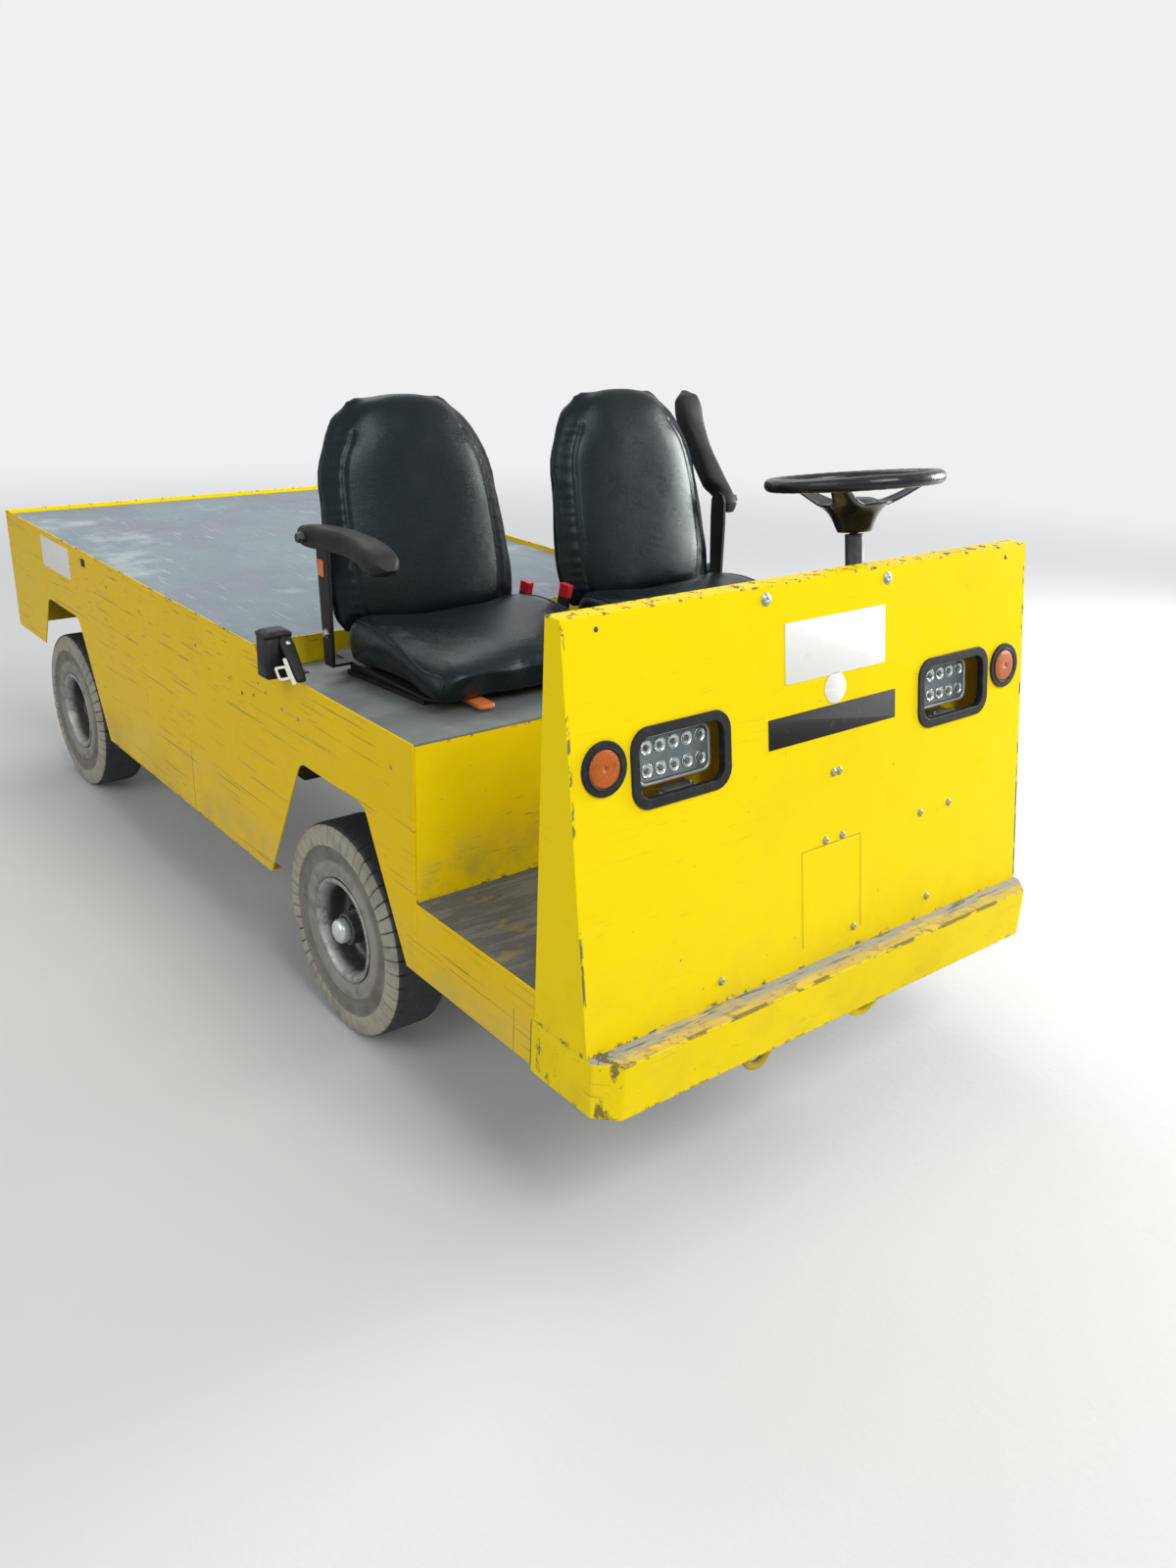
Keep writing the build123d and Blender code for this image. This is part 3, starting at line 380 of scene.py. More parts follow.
# %% [markdown]
# ## Decks
# The cargo deck is bare plate that has gone blue-grey, with water stains and drag marks along
# its length. The seat deck is painted grey and scuffed. The step has an anti-slip coat that
# feet have worn in bands down to yellow and bare steel.

# %% Decks
deck = Finish("deck_plate", (0.178, 0.232, 0.252), 0.42, metallic=0.2)
deck.paint(deck.band(deck.noise(2.2, 6, 0.62), 0.42, 0.62, 0.0, 0.75), (0.172, 0.188, 0.230))
deck.paint(deck.band(deck.noise(3.4, 5, 0.6, shift=3.0), 0.56, 0.70, 0.0, 0.7), (0.41, 0.46, 0.475))
deck.paint(deck.band(deck.noise(16, 6, 0.7), 0.60, 0.72, 0.0, 0.6), (0.13, 0.13, 0.12))
deck.paint(deck.band(deck.noise(8, 5, 0.6, along=(30.0, 1.1, 1.0)), 0.62, 0.66, 0.0, 0.65), (0.56, 0.57, 0.56))
deck.paint(deck.band(deck.noise(7, 4, 0.6, along=(1.0, 34.0, 1.0), shift=7.0), 0.65, 0.68, 0.0, 0.5), (0.12, 0.12, 0.12))
deck.roughen(deck.noise(5, 6, 0.65, shift=1.0), 0.34, 0.78)
deck.bump(deck.noise(240, 3), 0.0001).bump(deck.noise(3, 2), 0.003)
dress("cargo_deck", deck)

seat_deck = Finish("seat_deck_paint", (0.145, 0.160, 0.160), 0.55, metallic=0.1)
seat_deck.paint(seat_deck.band(seat_deck.noise(6, 6, 0.62), 0.46, 0.66, 0.0, 0.8), (0.235, 0.255, 0.25))
seat_deck.paint(seat_deck.band(seat_deck.noise(30, 5, 0.7), 0.62, 0.70, 0.0, 0.8), (0.09, 0.09, 0.085))
seat_deck.roughen(seat_deck.noise(9, 5), 0.35, 0.8)
seat_deck.bump(seat_deck.cells(170), 0.0004)
dress("seat_deck", seat_deck)

step = Finish("step_coat", (0.082, 0.088, 0.098), 0.7, metallic=0.15)
bands = step.band(step.noise(6, 5, 0.6, along=(1.2, 9.0, 1.0)), 0.47, 0.56)
step.paint(step.both(bands, 0.55), (0.17, 0.175, 0.175))
step.paint(step.both(step.band(step.noise(9, 5, 0.62, along=(1.5, 3.0, 1.0), shift=5.0), 0.54, 0.66), 0.65), (0.27, 0.19, 0.045))
step.roughen(step.noise(12, 5), 0.4, 0.9)
step.bump(step.cells(320), 0.0008)
dress("step_floor", step)
print("decks dressed: 3")

# %% [markdown]
# ## Chassis
# Under the deck everything is black paint under road dust: dust lies thickest on what faces up
# and thins out below. One finish with a dust mask serves rails, axles and links, and drier,
# rustier versions serve the leaf springs and the battery tray.

# %% Chassis
def dusty(name, color, dust=(0.23, 0.21, 0.17), roughness=0.55, metallic=0.0, rust=0.0):
    """Dark paint with dust that settles on upward faces, and rust in spots if wanted."""
    f = Finish(name, color, roughness, metallic)
    settle = f.band(f.facing("Z"), -0.4, 0.9, 0.15, 0.85)
    f.paint(f.both(settle, f.band(f.noise(18, 6, 0.65), 0.38, 0.68)), dust)
    f.paint(f.band(f.noise(42, 5, 0.7, shift=2.0), 0.63, 0.70, 0.0, rust), (0.19, 0.075, 0.03))
    f.roughen(f.noise(25, 4), roughness - 0.12, roughness + 0.3)
    f.bump(f.noise(260, 3), 0.00015)
    return f


chassis_black = dusty("chassis_black", (0.022, 0.022, 0.024), rust=0.35)
for node in ("frame_rails", "cross_members", "deck_stringers", "deck_posts", "front_axle", "rear_axle"):
    dress(node, chassis_black, 0.0015)
for node in ("knuckle_right", "knuckle_left", "tie_rod"):
    dress(node, chassis_black, 0.0008)
spring_steel = dusty("spring_steel", (0.05, 0.045, 0.04), rust=0.8, metallic=0.4)
dress("front_springs", spring_steel, 0.0008)
dress("rear_springs", spring_steel, 0.0008)
dress("drive_motor", dusty("motor_grey", (0.06, 0.065, 0.07), roughness=0.45, metallic=0.2), 0.004)
dress("battery_pack", dusty("battery_black", (0.03, 0.03, 0.032), roughness=0.6), 0.006)
dress("steering_column", dusty("column_black", (0.014, 0.015, 0.016), dust=(0.09, 0.085, 0.075), roughness=0.42), 0.001)
dress("pedals", dusty("pedal_rubber", (0.02, 0.02, 0.02), roughness=0.7), 0.0015)
seat_black = dusty("seat_frame_black", (0.0075, 0.0075, 0.0085), dust=(0.022, 0.021, 0.019), roughness=0.45)
seat_black.shader.inputs["Specular IOR Level"].default_value = 0.25
dress("dash_controls", dusty("switch_black", (0.015, 0.015, 0.016), roughness=0.4), 0.0015)
print("chassis dressed")

# %% [markdown]
# ## A small kit for meshes
# New pieces are made as plain grids of points. `piece` turns points and faces into an object,
# gives it a finish, and says which body carries it and which solid nodes it stands for.
# Wheels keep their own centre as origin, so that one material can draw rings round any of them.

# %% A small kit for meshes
def point(x, y, z):
    """A place in the shared frame, with y measured back from the bumper's face."""
    return Vector((x, NOSE + y, z))


def piece(name, verts, faces, finish, body="chassis", slot=None, replaces=(), place=None, smooth=True):
    mesh = bpy.data.meshes.new(name)
    mesh.from_pydata([tuple(v) for v in verts], [], faces)
    mesh.validate()
    mesh.materials.append(finish.material)
    mesh.polygons.foreach_set("use_smooth", [smooth] * len(mesh.polygons))
    thing = bpy.data.objects.new(name, mesh)
    bpy.context.collection.objects.link(thing)
    if place is not None:
        thing.location = place
    bpy.context.view_layer.update()
    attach(thing, body)
    if replaces:
        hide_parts(*replaces)
    return thing


def grid_faces(rows, columns, wrap_rows=False, wrap_columns=True, first=0):
    """Quads over a grid of points stored row by row."""
    faces = []
    for i in range(rows if wrap_rows else rows - 1):
        for j in range(columns if wrap_columns else columns - 1):
            a = first + i * columns + j
            b = first + i * columns + (j + 1) % columns
            c = first + ((i + 1) % rows) * columns + (j + 1) % columns
            d = first + ((i + 1) % rows) * columns + j
            faces.append((a, b, c, d))
    return faces


def outward(thing):
    """Turns every face to look out."""
    bm = bmesh.new()
    bm.from_mesh(thing.data)
    bmesh.ops.recalc_face_normals(bm, faces=bm.faces)
    bm.to_mesh(thing.data)
    bm.free()
    return thing


def lathe(profile, count, side=1, caps=True):
    """A profile of (offset, radius) turned about the X axis, closed on the axis where it ends there."""
    verts = []
    for offset, radius in profile:
        for k in range(count):
            turn = 2 * math.pi * k / count
            verts.append((side * offset, radius * math.cos(turn), radius * math.sin(turn)))
    faces = grid_faces(len(profile), count)
    if caps:
        faces.append(tuple(range(count)))
        faces.append(tuple(range((len(profile) - 1) * count, len(profile) * count)))
    return verts, faces


print("mesh kit ready")

# %% [markdown]
# ## Tyres
# These are solid rubber industrial tyres. The tread is almost smooth, with narrow cuts that
# start at the shoulder and run a little way across the tread and down the sidewall, 46 to a
# side. The mesh is a ring of cross-sections that are close together at each cut and wide apart
# between, which keeps the cuts sharp and the mesh light.

# %% Tyres
TYRE_R = 0.235
LUGS = 46
PITCH = (0.0, 0.035, 0.075, 0.30, 0.54, 0.78, 0.925, 0.965)
WALL = [
    # half width, radius, how deep a cut goes here
    (0.0520, 0.1020, 0.0), (0.0530, 0.1080, 0.0), (0.0534, 0.1150, 0.0), (0.0575, 0.1190, 0.0), (0.0605, 0.1225, 0.0),
    (0.0618, 0.1265, 0.0), (0.0608, 0.1295, 0.0), (0.0622, 0.1330, 0.0), (0.0626, 0.1390, 0.0), (0.0610, 0.1425, 0.0),
    (0.0621, 0.1465, 0.0), (0.0614, 0.1505, 0.0), (0.0588, 0.1530, 0.0), (0.0568, 0.1565, 0.0), (0.0563, 0.1650, 0.0),
    (0.0568, 0.1750, 0.0), (0.0580, 0.1815, 0.0), (0.0606, 0.1850, 0.1), (0.0638, 0.1874, 0.6), (0.0650, 0.1905, 1.0),
    (0.0650, 0.2050, 1.0), (0.0640, 0.2130, 1.0), (0.0625, 0.2210, 1.0), (0.0603, 0.2275, 1.0), (0.0563, 0.2318, 1.0),
    (0.0505, 0.2340, 1.0), (0.0440, 0.2348, 0.9), (0.0400, 0.2350, 0.5), (0.0365, 0.2350, 0.0), (0.0200, 0.2350, 0.0),
]
CUT = 0.0065


def tyre_mesh():
    section = [(-w, r, cut, -1) for w, r, cut in WALL] + [(w, r, cut, 1) for w, r, cut in reversed(WALL)]
    count = LUGS * len(PITCH)
    verts = []
    for w, r, cut, side in section:
        for k in range(count):
            lug, part = divmod(k, len(PITCH))
            fraction = PITCH[part]
            away = min(fraction, 1 - fraction)
            hold = max(0.0, 1 - away / 0.07) ** 0.35 if away < 0.07 else 0.0
            slant = 0.16 * (TYRE_R - r) / 0.04 if r > 0.18 else 0.16 * (TYRE_R - 0.18) / 0.04
            turn = 2 * math.pi * (lug + fraction + (0.5 if side > 0 else 0.0) + slant) / LUGS
            wear = noise.noise(Vector((math.cos(turn) * 5, math.sin(turn) * 5, side * 3))) * 0.0006
            deep = CUT * cut * hold * (0.75 + 0.35 * noise.noise(Vector((lug * 1.7, side * 4.0, 0))))
            radial = r - (deep if abs(w) < 0.062 else deep * 0.3) + (wear if r > 0.2 else 0.0)
            sunk = abs(w) - (deep if r < 0.228 else deep * 0.2)
            radial = min(radial, TYRE_R)
            verts.append((side * sunk, radial * math.cos(turn), radial * math.sin(turn)))
    return verts, grid_faces(len(section), count, wrap_rows=True)


rubber = Finish("tyre_rubber", (0.030, 0.034, 0.040), 0.62)
x_out = rubber.math("ABSOLUTE", rubber.axis("X"))
radius = rubber.math("SQRT", rubber.math("ADD", rubber.both(rubber.axis("Y"), rubber.axis("Y")), rubber.both(rubber.axis("Z"), rubber.axis("Z"))))
wall = rubber.both(rubber.band(x_out, 0.0515, 0.0560), rubber.band(radius, 0.2340, 0.2295))
rubber.paint(rubber.band(rubber.noise(22, 5, 0.65), 0.5, 0.75, 0.0, 0.5), (0.085, 0.085, 0.08))
dust_and_cut_shade = rubber.blend(rubber.band(rubber.noise(14, 6, 0.65), 0.38, 0.66), (0.185, 0.177, 0.148), (0.110, 0.106, 0.090))
bead = rubber.blend(rubber.band(rubber.noise(26, 5, 0.6, shift=3.0), 0.4, 0.65), (0.270, 0.265, 0.232), (0.180, 0.176, 0.155))
dust_and_cut_shade = rubber.blend(rubber.band(radius, 0.158, 0.149), dust_and_cut_shade, bead)
blocks = rubber.blend(rubber.band(rubber.noise(20, 5, 0.6, shift=6.0), 0.4, 0.65), (0.36, 0.335, 0.27), (0.25, 0.235, 0.19))
band_mask = rubber.band(radius, 0.1855, 0.1895)
dust_and_cut_shade = rubber.blend(band_mask, dust_and_cut_shade, blocks)
# The sunk wall inside each shoulder cut is painted near black over the dust: painted shade in the cuts.
cut_shade = rubber.both(rubber.band(radius, 0.190, 0.193), rubber.band(rubber.math("SUBTRACT", x_out, rubber.band(radius, 0.205, 0.2275, 0.0622, 0.0570)), 0.0008, -0.0008))
dust_and_cut_shade = rubber.blend(rubber.both(cut_shade, 0.9), dust_and_cut_shade, (0.035, 0.034, 0.032))
rubber.paint(wall, dust_and_cut_shade)
rubber.paint(rubber.both(wall, rubber.band(rubber.noise(30, 4, 0.6, shift=8.0), 0.66, 0.72, 0.0, 0.35)), (0.25, 0.10, 0.06))
rubber.roughen(rubber.noise(30, 4), 0.50, 0.85)
rubber.bump(rubber.noise(160, 4, 0.6), 0.0005)
rubber.bump(rubber.both(wall, rubber.math("SINE", rubber.math("MULTIPLY", radius, 1750.0))), 0.00022)

tyre_points, tyre_faces = tyre_mesh()
WHEELS = {}
for corner in ("front_right", "front_left", "rear_right", "rear_left"):
    low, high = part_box("tyre_" + corner)
    centre = Vector([(a + b) / 2 for a, b in zip(low, high)])
    WHEELS[corner] = centre
    outward(piece("tread_" + corner, tyre_points, tyre_faces, rubber, "wheel_" + corner, "tyre_rubber",
                  ("tyre_" + corner,), centre))
print("tyres:", len(WHEELS), "faces each:", len(tyre_faces))

# %% [markdown]
# ## Wheel discs
# Each rim is a pressed steel dish: a rolled flange that curbs have polished, a deep well, four
# oval hand holes round a raised bolt circle, and five nuts. The hub pokes out of the front
# wheels as a black cylinder with a domed silver cap. The oval holes are cut from the disc by
# boolean, because no grid of points has them.

# %% Wheel discs
DISH = [
    (0.0530, 0.1015), (0.0532, 0.1125), (0.0560, 0.1150), (0.0590, 0.1152), (0.0608, 0.1125), (0.0610, 0.1085),
    (0.0590, 0.1050), (0.0550, 0.1015), (0.0500, 0.0985), (0.0420, 0.0962), (0.0300, 0.0940), (0.0150, 0.0928),
    (0.0040, 0.0915), (-0.0015, 0.0890), (-0.0040, 0.0850), (-0.0055, 0.0790), (-0.0060, 0.0700), (-0.0050, 0.0640),
    (0.0000, 0.0600), (0.0025, 0.0570), (0.0030, 0.0480), (0.0030, 0.0375),
]
DISH_BACK = [
    (-0.0050, 0.0375), (-0.0130, 0.0600), (-0.0140, 0.0700), (-0.0130, 0.0840), (-0.0150, 0.0880), (-0.0300, 0.0955),
    (-0.0540, 0.0975), (-0.0600, 0.1050), (-0.0610, 0.1090), (-0.0590, 0.1150), (-0.0532, 0.1125), (-0.0530, 0.1015),
]
STEEL = dict(metallic=0.85)
rim_steel = Finish("rim_steel", (0.36, 0.355, 0.34), 0.38, **STEEL)
rim_steel.paint(rim_steel.band(rim_steel.noise(32, 6, 0.68), 0.45, 0.62, 0.0, 0.85), (0.17, 0.165, 0.15))
rim_steel.paint(rim_steel.band(rim_steel.noise(60, 5, 0.7, shift=3.0), 0.62, 0.70, 0.0, 0.6), (0.16, 0.09, 0.05))
# The dish inside the flange is painted darker: painted shade in the deep wheel.
dish_shade = rim_steel.both(rim_steel.band(rim_steel.math("ABSOLUTE", rim_steel.axis("X")), 0.046, 0.030), 0.80)
rim_steel.paint(dish_shade, (0.060, 0.055, 0.046))
rim_steel.roughen(rim_steel.noise(40, 5), 0.28, 0.72)
rim_steel.bump(rim_steel.noise(140, 4, 0.65), 0.0006)
nut_steel = Finish("nut_steel", (0.035, 0.035, 0.036), 0.45, metallic=0.5)
nut_steel.paint(nut_steel.band(nut_steel.noise(90, 4), 0.5, 0.7, 0.0, 0.6), (0.12, 0.11, 0.10))
nut_steel.bump(nut_steel.noise(300, 3), 0.0003)
cap_silver = Finish("cap_silver", (0.60, 0.66, 0.63), 0.30, metallic=0.6)
cap_silver.paint(cap_silver.band(cap_silver.noise(70, 5), 0.5, 0.72, 0.0, 0.6), (0.30, 0.31, 0.29))
cap_silver.roughen(cap_silver.noise(60, 4), 0.2, 0.5)
hub_black = dusty("hub_black", (0.012, 0.012, 0.013), roughness=0.5)


def cut_with(thing, cutters):
    """Cuts closed meshes out of a closed mesh, and leaves no modifier behind."""
    for cutter in cutters:
        step = thing.modifiers.new("cut", "BOOLEAN")
        step.operation = "DIFFERENCE"
        step.solver = "EXACT"
        step.object = cutter
    bpy.context.view_layer.update()
    graph = bpy.context.evaluated_depsgraph_get()
    result = bpy.data.meshes.new_from_object(thing.evaluated_get(graph))
    thing.modifiers.clear()
    old = thing.data
    thing.data = result
    bpy.data.meshes.remove(old)
    for cutter in cutters:
        bpy.data.objects.remove(cutter)


def dish_mesh(side):
    """The dish as a new mesh, with its four hand holes cut."""
    verts, faces = lathe(DISH + DISH_BACK, 96, side, caps=False)
    count = 96
    rows = len(DISH + DISH_BACK)
    faces += [((rows - 1) * count + k, (rows - 1) * count + (k + 1) % count, (k + 1) % count, k) for k in range(count)]
    blank = bpy.data.objects.new("blank", bpy.data.meshes.new("dish"))
    blank.data.from_pydata(verts, [], faces)
    bpy.context.collection.objects.link(blank)
    outward(blank)
    cutters = []
    for quarter in range(4):
        middle = math.pi / 4 + quarter * math.pi / 2
        ring = []
        for k in range(28):
            turn = 2 * math.pi * k / 28
            r = 0.0755 + 0.0085 * math.sin(turn)
            swing = middle + 0.30 * math.cos(turn)
            ring.append((r * math.cos(swing), r * math.sin(swing)))
        points = [(x, y, z) for x in (-0.03, 0.02) for y, z in ring]
        sides = [(k, (k + 1) % 28, 28 + (k + 1) % 28, 28 + k) for k in range(28)]
        solid = bpy.data.objects.new("hole", bpy.data.meshes.new("hole"))
        solid.data.from_pydata([(side * x, y, z) for x, y, z in points], [], sides + [tuple(range(28)), tuple(range(28, 56))])
        bpy.context.collection.objects.link(solid)
        outward(solid)
        cutters.append(solid)
    cut_with(blank, cutters)
    mesh = blank.data
    bpy.data.objects.remove(blank)
    return mesh


def nut(radius, height, x, y, z, side):
    """A six-sided nut with a chamfered top and a washer, pointing out along X."""
    verts = []
    for r, out in ((radius * 1.35, 0.0), (radius * 1.35, 0.0018), (radius * 1.02, 0.0019), (radius, 0.0022),
                   (radius, height * 0.82), (radius * 0.84, height), (radius * 0.40, height), (radius * 0.38, height * 1.35), (0.0001, height * 1.38)):
        sides = 6 if 0.5 * radius < r < 1.2 * radius else 24
        for k in range(24):
            turn = 2 * math.pi * k / 24
            shrink = math.cos(math.pi / 6) / math.cos((turn % (math.pi / 3)) - math.pi / 6) if sides == 6 else 1.0
            verts.append((x + side * out, y + r * shrink * math.cos(turn), z + r * shrink * math.sin(turn)))
    return verts, grid_faces(9, 24)


def merged(parts):
    """Several (points, faces) as one."""
    verts, faces = [], []
    for more_verts, more_faces in parts:
        start = len(verts)
        verts += more_verts
        faces += [tuple(start + i for i in face) for face in more_faces]
    return verts, faces


for corner, centre in WHEELS.items():
    side = -1 if corner.endswith("right") else 1
    body = "wheel_" + corner
    dish = bpy.data.objects.new("dish_" + corner, dish_mesh(side))
    dish.data.materials.append(rim_steel.material)
    dish.data.polygons.foreach_set("use_smooth", [True] * len(dish.data.polygons))
    bpy.context.collection.objects.link(dish)
    dish.location = centre
    round_off = dish.modifiers.new("edges", "BEVEL")
    round_off.width = 0.0012
    round_off.segments = 2
    round_off.angle_limit = math.radians(50)
    bpy.context.view_layer.update()
    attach(dish, body)
    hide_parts("rim_" + corner)
    nuts = merged([nut(0.0085, 0.011, side * 0.003, 0.0475 * math.cos(a), 0.0475 * math.sin(a), side)
                   for a in [2 * math.pi * (k + 0.3) / 5 for k in range(5)]])
    outward(piece("nuts_" + corner, *nuts, nut_steel, body, "rim_steel", place=centre, smooth=False))
    reach = 0.0235 if corner.startswith("front") else 0.0
    hub = [(-0.030, 0.0365), (0.0060, 0.0366), (0.0066, 0.0350), (0.0200 + reach, 0.0350), (0.0245 + reach, 0.0348), (0.0262 + reach, 0.0338),
           (0.0266 + reach, 0.0315), (0.0266 + reach, 0.0275), (0.0200 + reach, 0.0270)]
    outward(piece("hub_" + corner, *lathe(hub, 64, side), hub_black, body, "rim_steel", place=centre))
    cap = [(0.020, 0.0262), (0.0280, 0.0264), (0.0360, 0.0262), (0.0400, 0.0250), (0.0430, 0.0225), (0.0455, 0.0180),
           (0.0475, 0.0120), (0.0488, 0.0060), (0.0490, 0.0015)]
    cap = [(x + (reach + 0.004 if reach else -0.012), r) for x, r in cap]
    outward(piece("cap_" + corner, *lathe(cap, 48, side), cap_silver if corner.startswith("front") else nut_steel,
                  body, "rim_steel", place=centre))
print("wheel discs:", len(WHEELS))

# %% [markdown]
# ## Seat pads
# A cushion is foam in a vinyl cover, so its skin is slightly blown up between the seams. Each
# pad starts as a rounded block a little smaller than the solid it stands for. The block is
# remeshed evenly, swollen by a short cloth simulation with air pressure, and then scaled to the
# solid's own size. Seams and puckers are pressed in afterwards, because the remesh would erase
# them, and welts are laid on as cords that follow the skin.

# %% Seat pads
PAD_GRID = 26
SWELL = 0.020


def block_points(n):
    """A cube's surface as a closed grid of points from -1 to 1, with its quads."""
    verts, faces, index = [], [], {}

    def corner(p):
        key = tuple(round(v, 5) for v in p)
        if key not in index:
            index[key] = len(verts)
            verts.append(Vector(p))
        return index[key]

    steps = [-1 + 2 * k / n for k in range(n + 1)]
    for axis in range(3):
        for end in (-1, 1):
            for i in range(n):
                for j in range(n):
                    quad = []
                    for u, v in ((steps[i], steps[j]), (steps[i + 1], steps[j]), (steps[i + 1], steps[j + 1]), (steps[i], steps[j + 1])):
                        p = [u, v]
                        p.insert(axis, end)
                        quad.append(corner(p))
                    faces.append(tuple(quad))
    return verts, faces


def rounded(p, power, foot=None):
    """Moves a point of the unit cube to a rounder block: the lower the power, the rounder."""
    if foot:
        power = power + (foot - power) * (1 - p.z) / 2
    size = max(abs(p.x), abs(p.y), abs(p.z))
    reach = (abs(p.x) ** power + abs(p.y) ** power + abs(p.z) ** power) ** (1 / power)
    return p * (size / reach)


def straight(value, table):
    """The value on the straight lines through a table of (place, value)."""
    if value <= table[0][0]:
        return table[0][1]
    for (a, fa), (b, fb) in zip(table, table[1:]):
        if value <= b:
            return fa + (fb - fa) * (value - a) / (b - a)
    return table[-1][1]


def flowing(value, table, reach):
    """The same lines with their corners rounded off over that reach."""
    return sum(straight(value + reach * k / 3, table) for k in range(-3, 4)) / 7


def between(value, table):
    """A smooth value from a table of (place, value)."""
    if value <= table[0][0]:
        return table[0][1]
    for (a, fa), (b, fb) in zip(table, table[1:]):
        if value <= b:
            t = (value - a) / (b - a)
            t = t * t * (3 - 2 * t)
            return fa + (fb - fa) * t
    return table[-1][1]


def relaxed(move, mesh, rounds):
    """Evens out the moves of a mesh's points between neighbours, as a taut skin does."""
    ends = numpy.array([e.vertices[:] for e in mesh.edges])
    count = numpy.bincount(ends.ravel(), minlength=len(move))[:, None]
    for _ in range(rounds):
        total = numpy.zeros_like(move)
        numpy.add.at(total, ends[:, 0], move[ends[:, 1]])
        numpy.add.at(total, ends[:, 1], move[ends[:, 0]])
        move = 0.5 * move + 0.5 * total / count
    return move


def swollen(name, verts, faces, cap, voxel, creases=0.12):
    """Remeshes a closed shape and blows it up as cloth, keeping that share of its creases."""
    mesh = bpy.data.meshes.new(name)
    mesh.from_pydata([tuple(v) for v in verts], [], faces)
    pad = bpy.data.objects.new(name, mesh)
    bpy.context.collection.objects.link(pad)
    outward(pad)
    grid = pad.modifiers.new("even", "REMESH")
    grid.mode = "VOXEL"
    grid.voxel_size = voxel
    bpy.context.view_layer.update()
    even = bpy.data.meshes.new_from_object(pad.evaluated_get(bpy.context.evaluated_depsgraph_get()))
    pad.modifiers.clear()
    pad.data = even
    start = numpy.array([v.co for v in even.vertices])
    cloth = pad.modifiers.new("skin", "CLOTH")
    cloth.settings.quality = 5
    cloth.settings.mass = 0.3
    cloth.settings.use_pressure = True
    cloth.settings.uniform_pressure_force = 4.0
    cloth.settings.effector_weights.gravity = 0
    cloth.settings.tension_stiffness = 18
    cloth.settings.compression_stiffness = 18
    cloth.settings.shear_stiffness = 8
    cloth.settings.bending_stiffness = 4.0
    cloth.collision_settings.use_collision = False
    scene = bpy.context.scene
    for frame_number in range(1, 21):
        scene.frame_set(frame_number)
    blown = bpy.data.meshes.new_from_object(pad.evaluated_get(bpy.context.evaluated_depsgraph_get()))
    pad.modifiers.clear()
    move = numpy.array([v.co for v in blown.vertices]) - start
    length = numpy.linalg.norm(move, axis=1)
    move *= (numpy.minimum(length, cap) / numpy.maximum(length, 1e-9))[:, None]
    move = creases * move + (1 - creases) * relaxed(move, even, 40)
    for vertex, place in zip(blown.vertices, start + move):
        vertex.co = place
    pad.data = blown
    scene.frame_set(1)
    return pad


def fit_to(points, low, high):
    """Scales points so that their own box is exactly that box."""
    mins = [min(p[i] for p in points) for i in range(3)]
    maxs = [max(p[i] for p in points) for i in range(3)]
    for p in points:
        for i in range(3):
            p[i] = low[i] + (p[i] - mins[i]) * (high[i] - low[i]) / (maxs[i] - mins[i])


# The vinyl is near black; the blue-green tint in its base colour and the green specular tint are painted reflection of
# sky and surroundings.
vinyl = Finish("seat_vinyl", (0.0040, 0.0066, 0.0102), 0.29, Coat_Weight=0.03, Coat_Roughness=0.18, Specular_IOR_Level=0.19,
               Specular_Tint=(0.78, 1.0, 0.96, 1.0))
vinyl.paint(vinyl.band(vinyl.noise(5, 5, 0.6), 0.40, 0.68, 0.0, 0.35), (0.0066, 0.0102, 0.0128))
vinyl.roughen(vinyl.noise(16, 5, 0.62), 0.20, 0.38)
vinyl.bump(vinyl.cells(520), 0.00022)
vinyl.bump(vinyl.noise(60, 4, 0.6, along=(0.5, 1.0, 2.0)), 0.00045)
vinyl.bump(vinyl.noise(12, 2, 0.4), 0.0008)

FRONT_DROP = [(-1.0, 0.072), (-0.93, 0.086), (-0.80, 0.095), (-0.50, 0.103), (0.0, 0.111), (0.50, 0.118), (1.0, 0.117)]
SIDE_DROP = [(-1.0, 0.034), (-0.80, 0.032), (-0.60, 0.029), (-0.27, 0.015), (-0.09, 0.006), (0.16, 0.0)]
CUSH_LOW, CUSH_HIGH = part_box("seat_cushion_right")
CUSH_MID = [(a + b) / 2 for a, b in zip(CUSH_LOW, CUSH_HIGH)]
CUSH_HALF = [(b - a) / 2 for a, b in zip(CUSH_LOW, CUSH_HIGH)]
SHIFT = Vector(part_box("seat_cushion_left")[0]) - Vector(CUSH_LOW)
print("driver's seat is moved by", [round(v, 3) for v in SHIFT])


PAN_TOP = CUSH_LOW[2]
SKIRT = 0.012


def cushion_shape():
    verts, faces = block_points(PAD_GRID)
    for v in verts:
        power = 5.0 + 5.0 * max(0.0, v.y)
        full = rounded(v, power, 16.0)
        x, y = full.x, full.y
        top = flowing(y, FRONT_DROP, 0.12) - flowing(y, SIDE_DROP, 0.12) * abs(x) ** 5
        up = (full.z + 1) / 2
        belly = 1 + 0.022 * math.sin(math.pi * up) - 0.030 * up ** 4
        bow = -0.008 * (1 - x * x) * max(0.0, -y) ** 3
        v.x = CUSH_MID[0] + x * belly * (CUSH_HALF[0] - SWELL * 0.35)
        v.y = CUSH_MID[1] + y * (1 + 0.015 * math.sin(math.pi * up)) * (CUSH_HALF[1] - SWELL * 0.4) + bow
        v.z = PAN_TOP - SKIRT + 0.003 + up * (top + SKIRT - 0.010)
    return verts, faces


def skin_of(pad):
    """The pad's final skin, to lay seams on."""
    mesh = pad.data
    return BVHTree.FromPolygons([v.co for v in mesh.vertices], [p.vertices[:] for p in mesh.polygons])


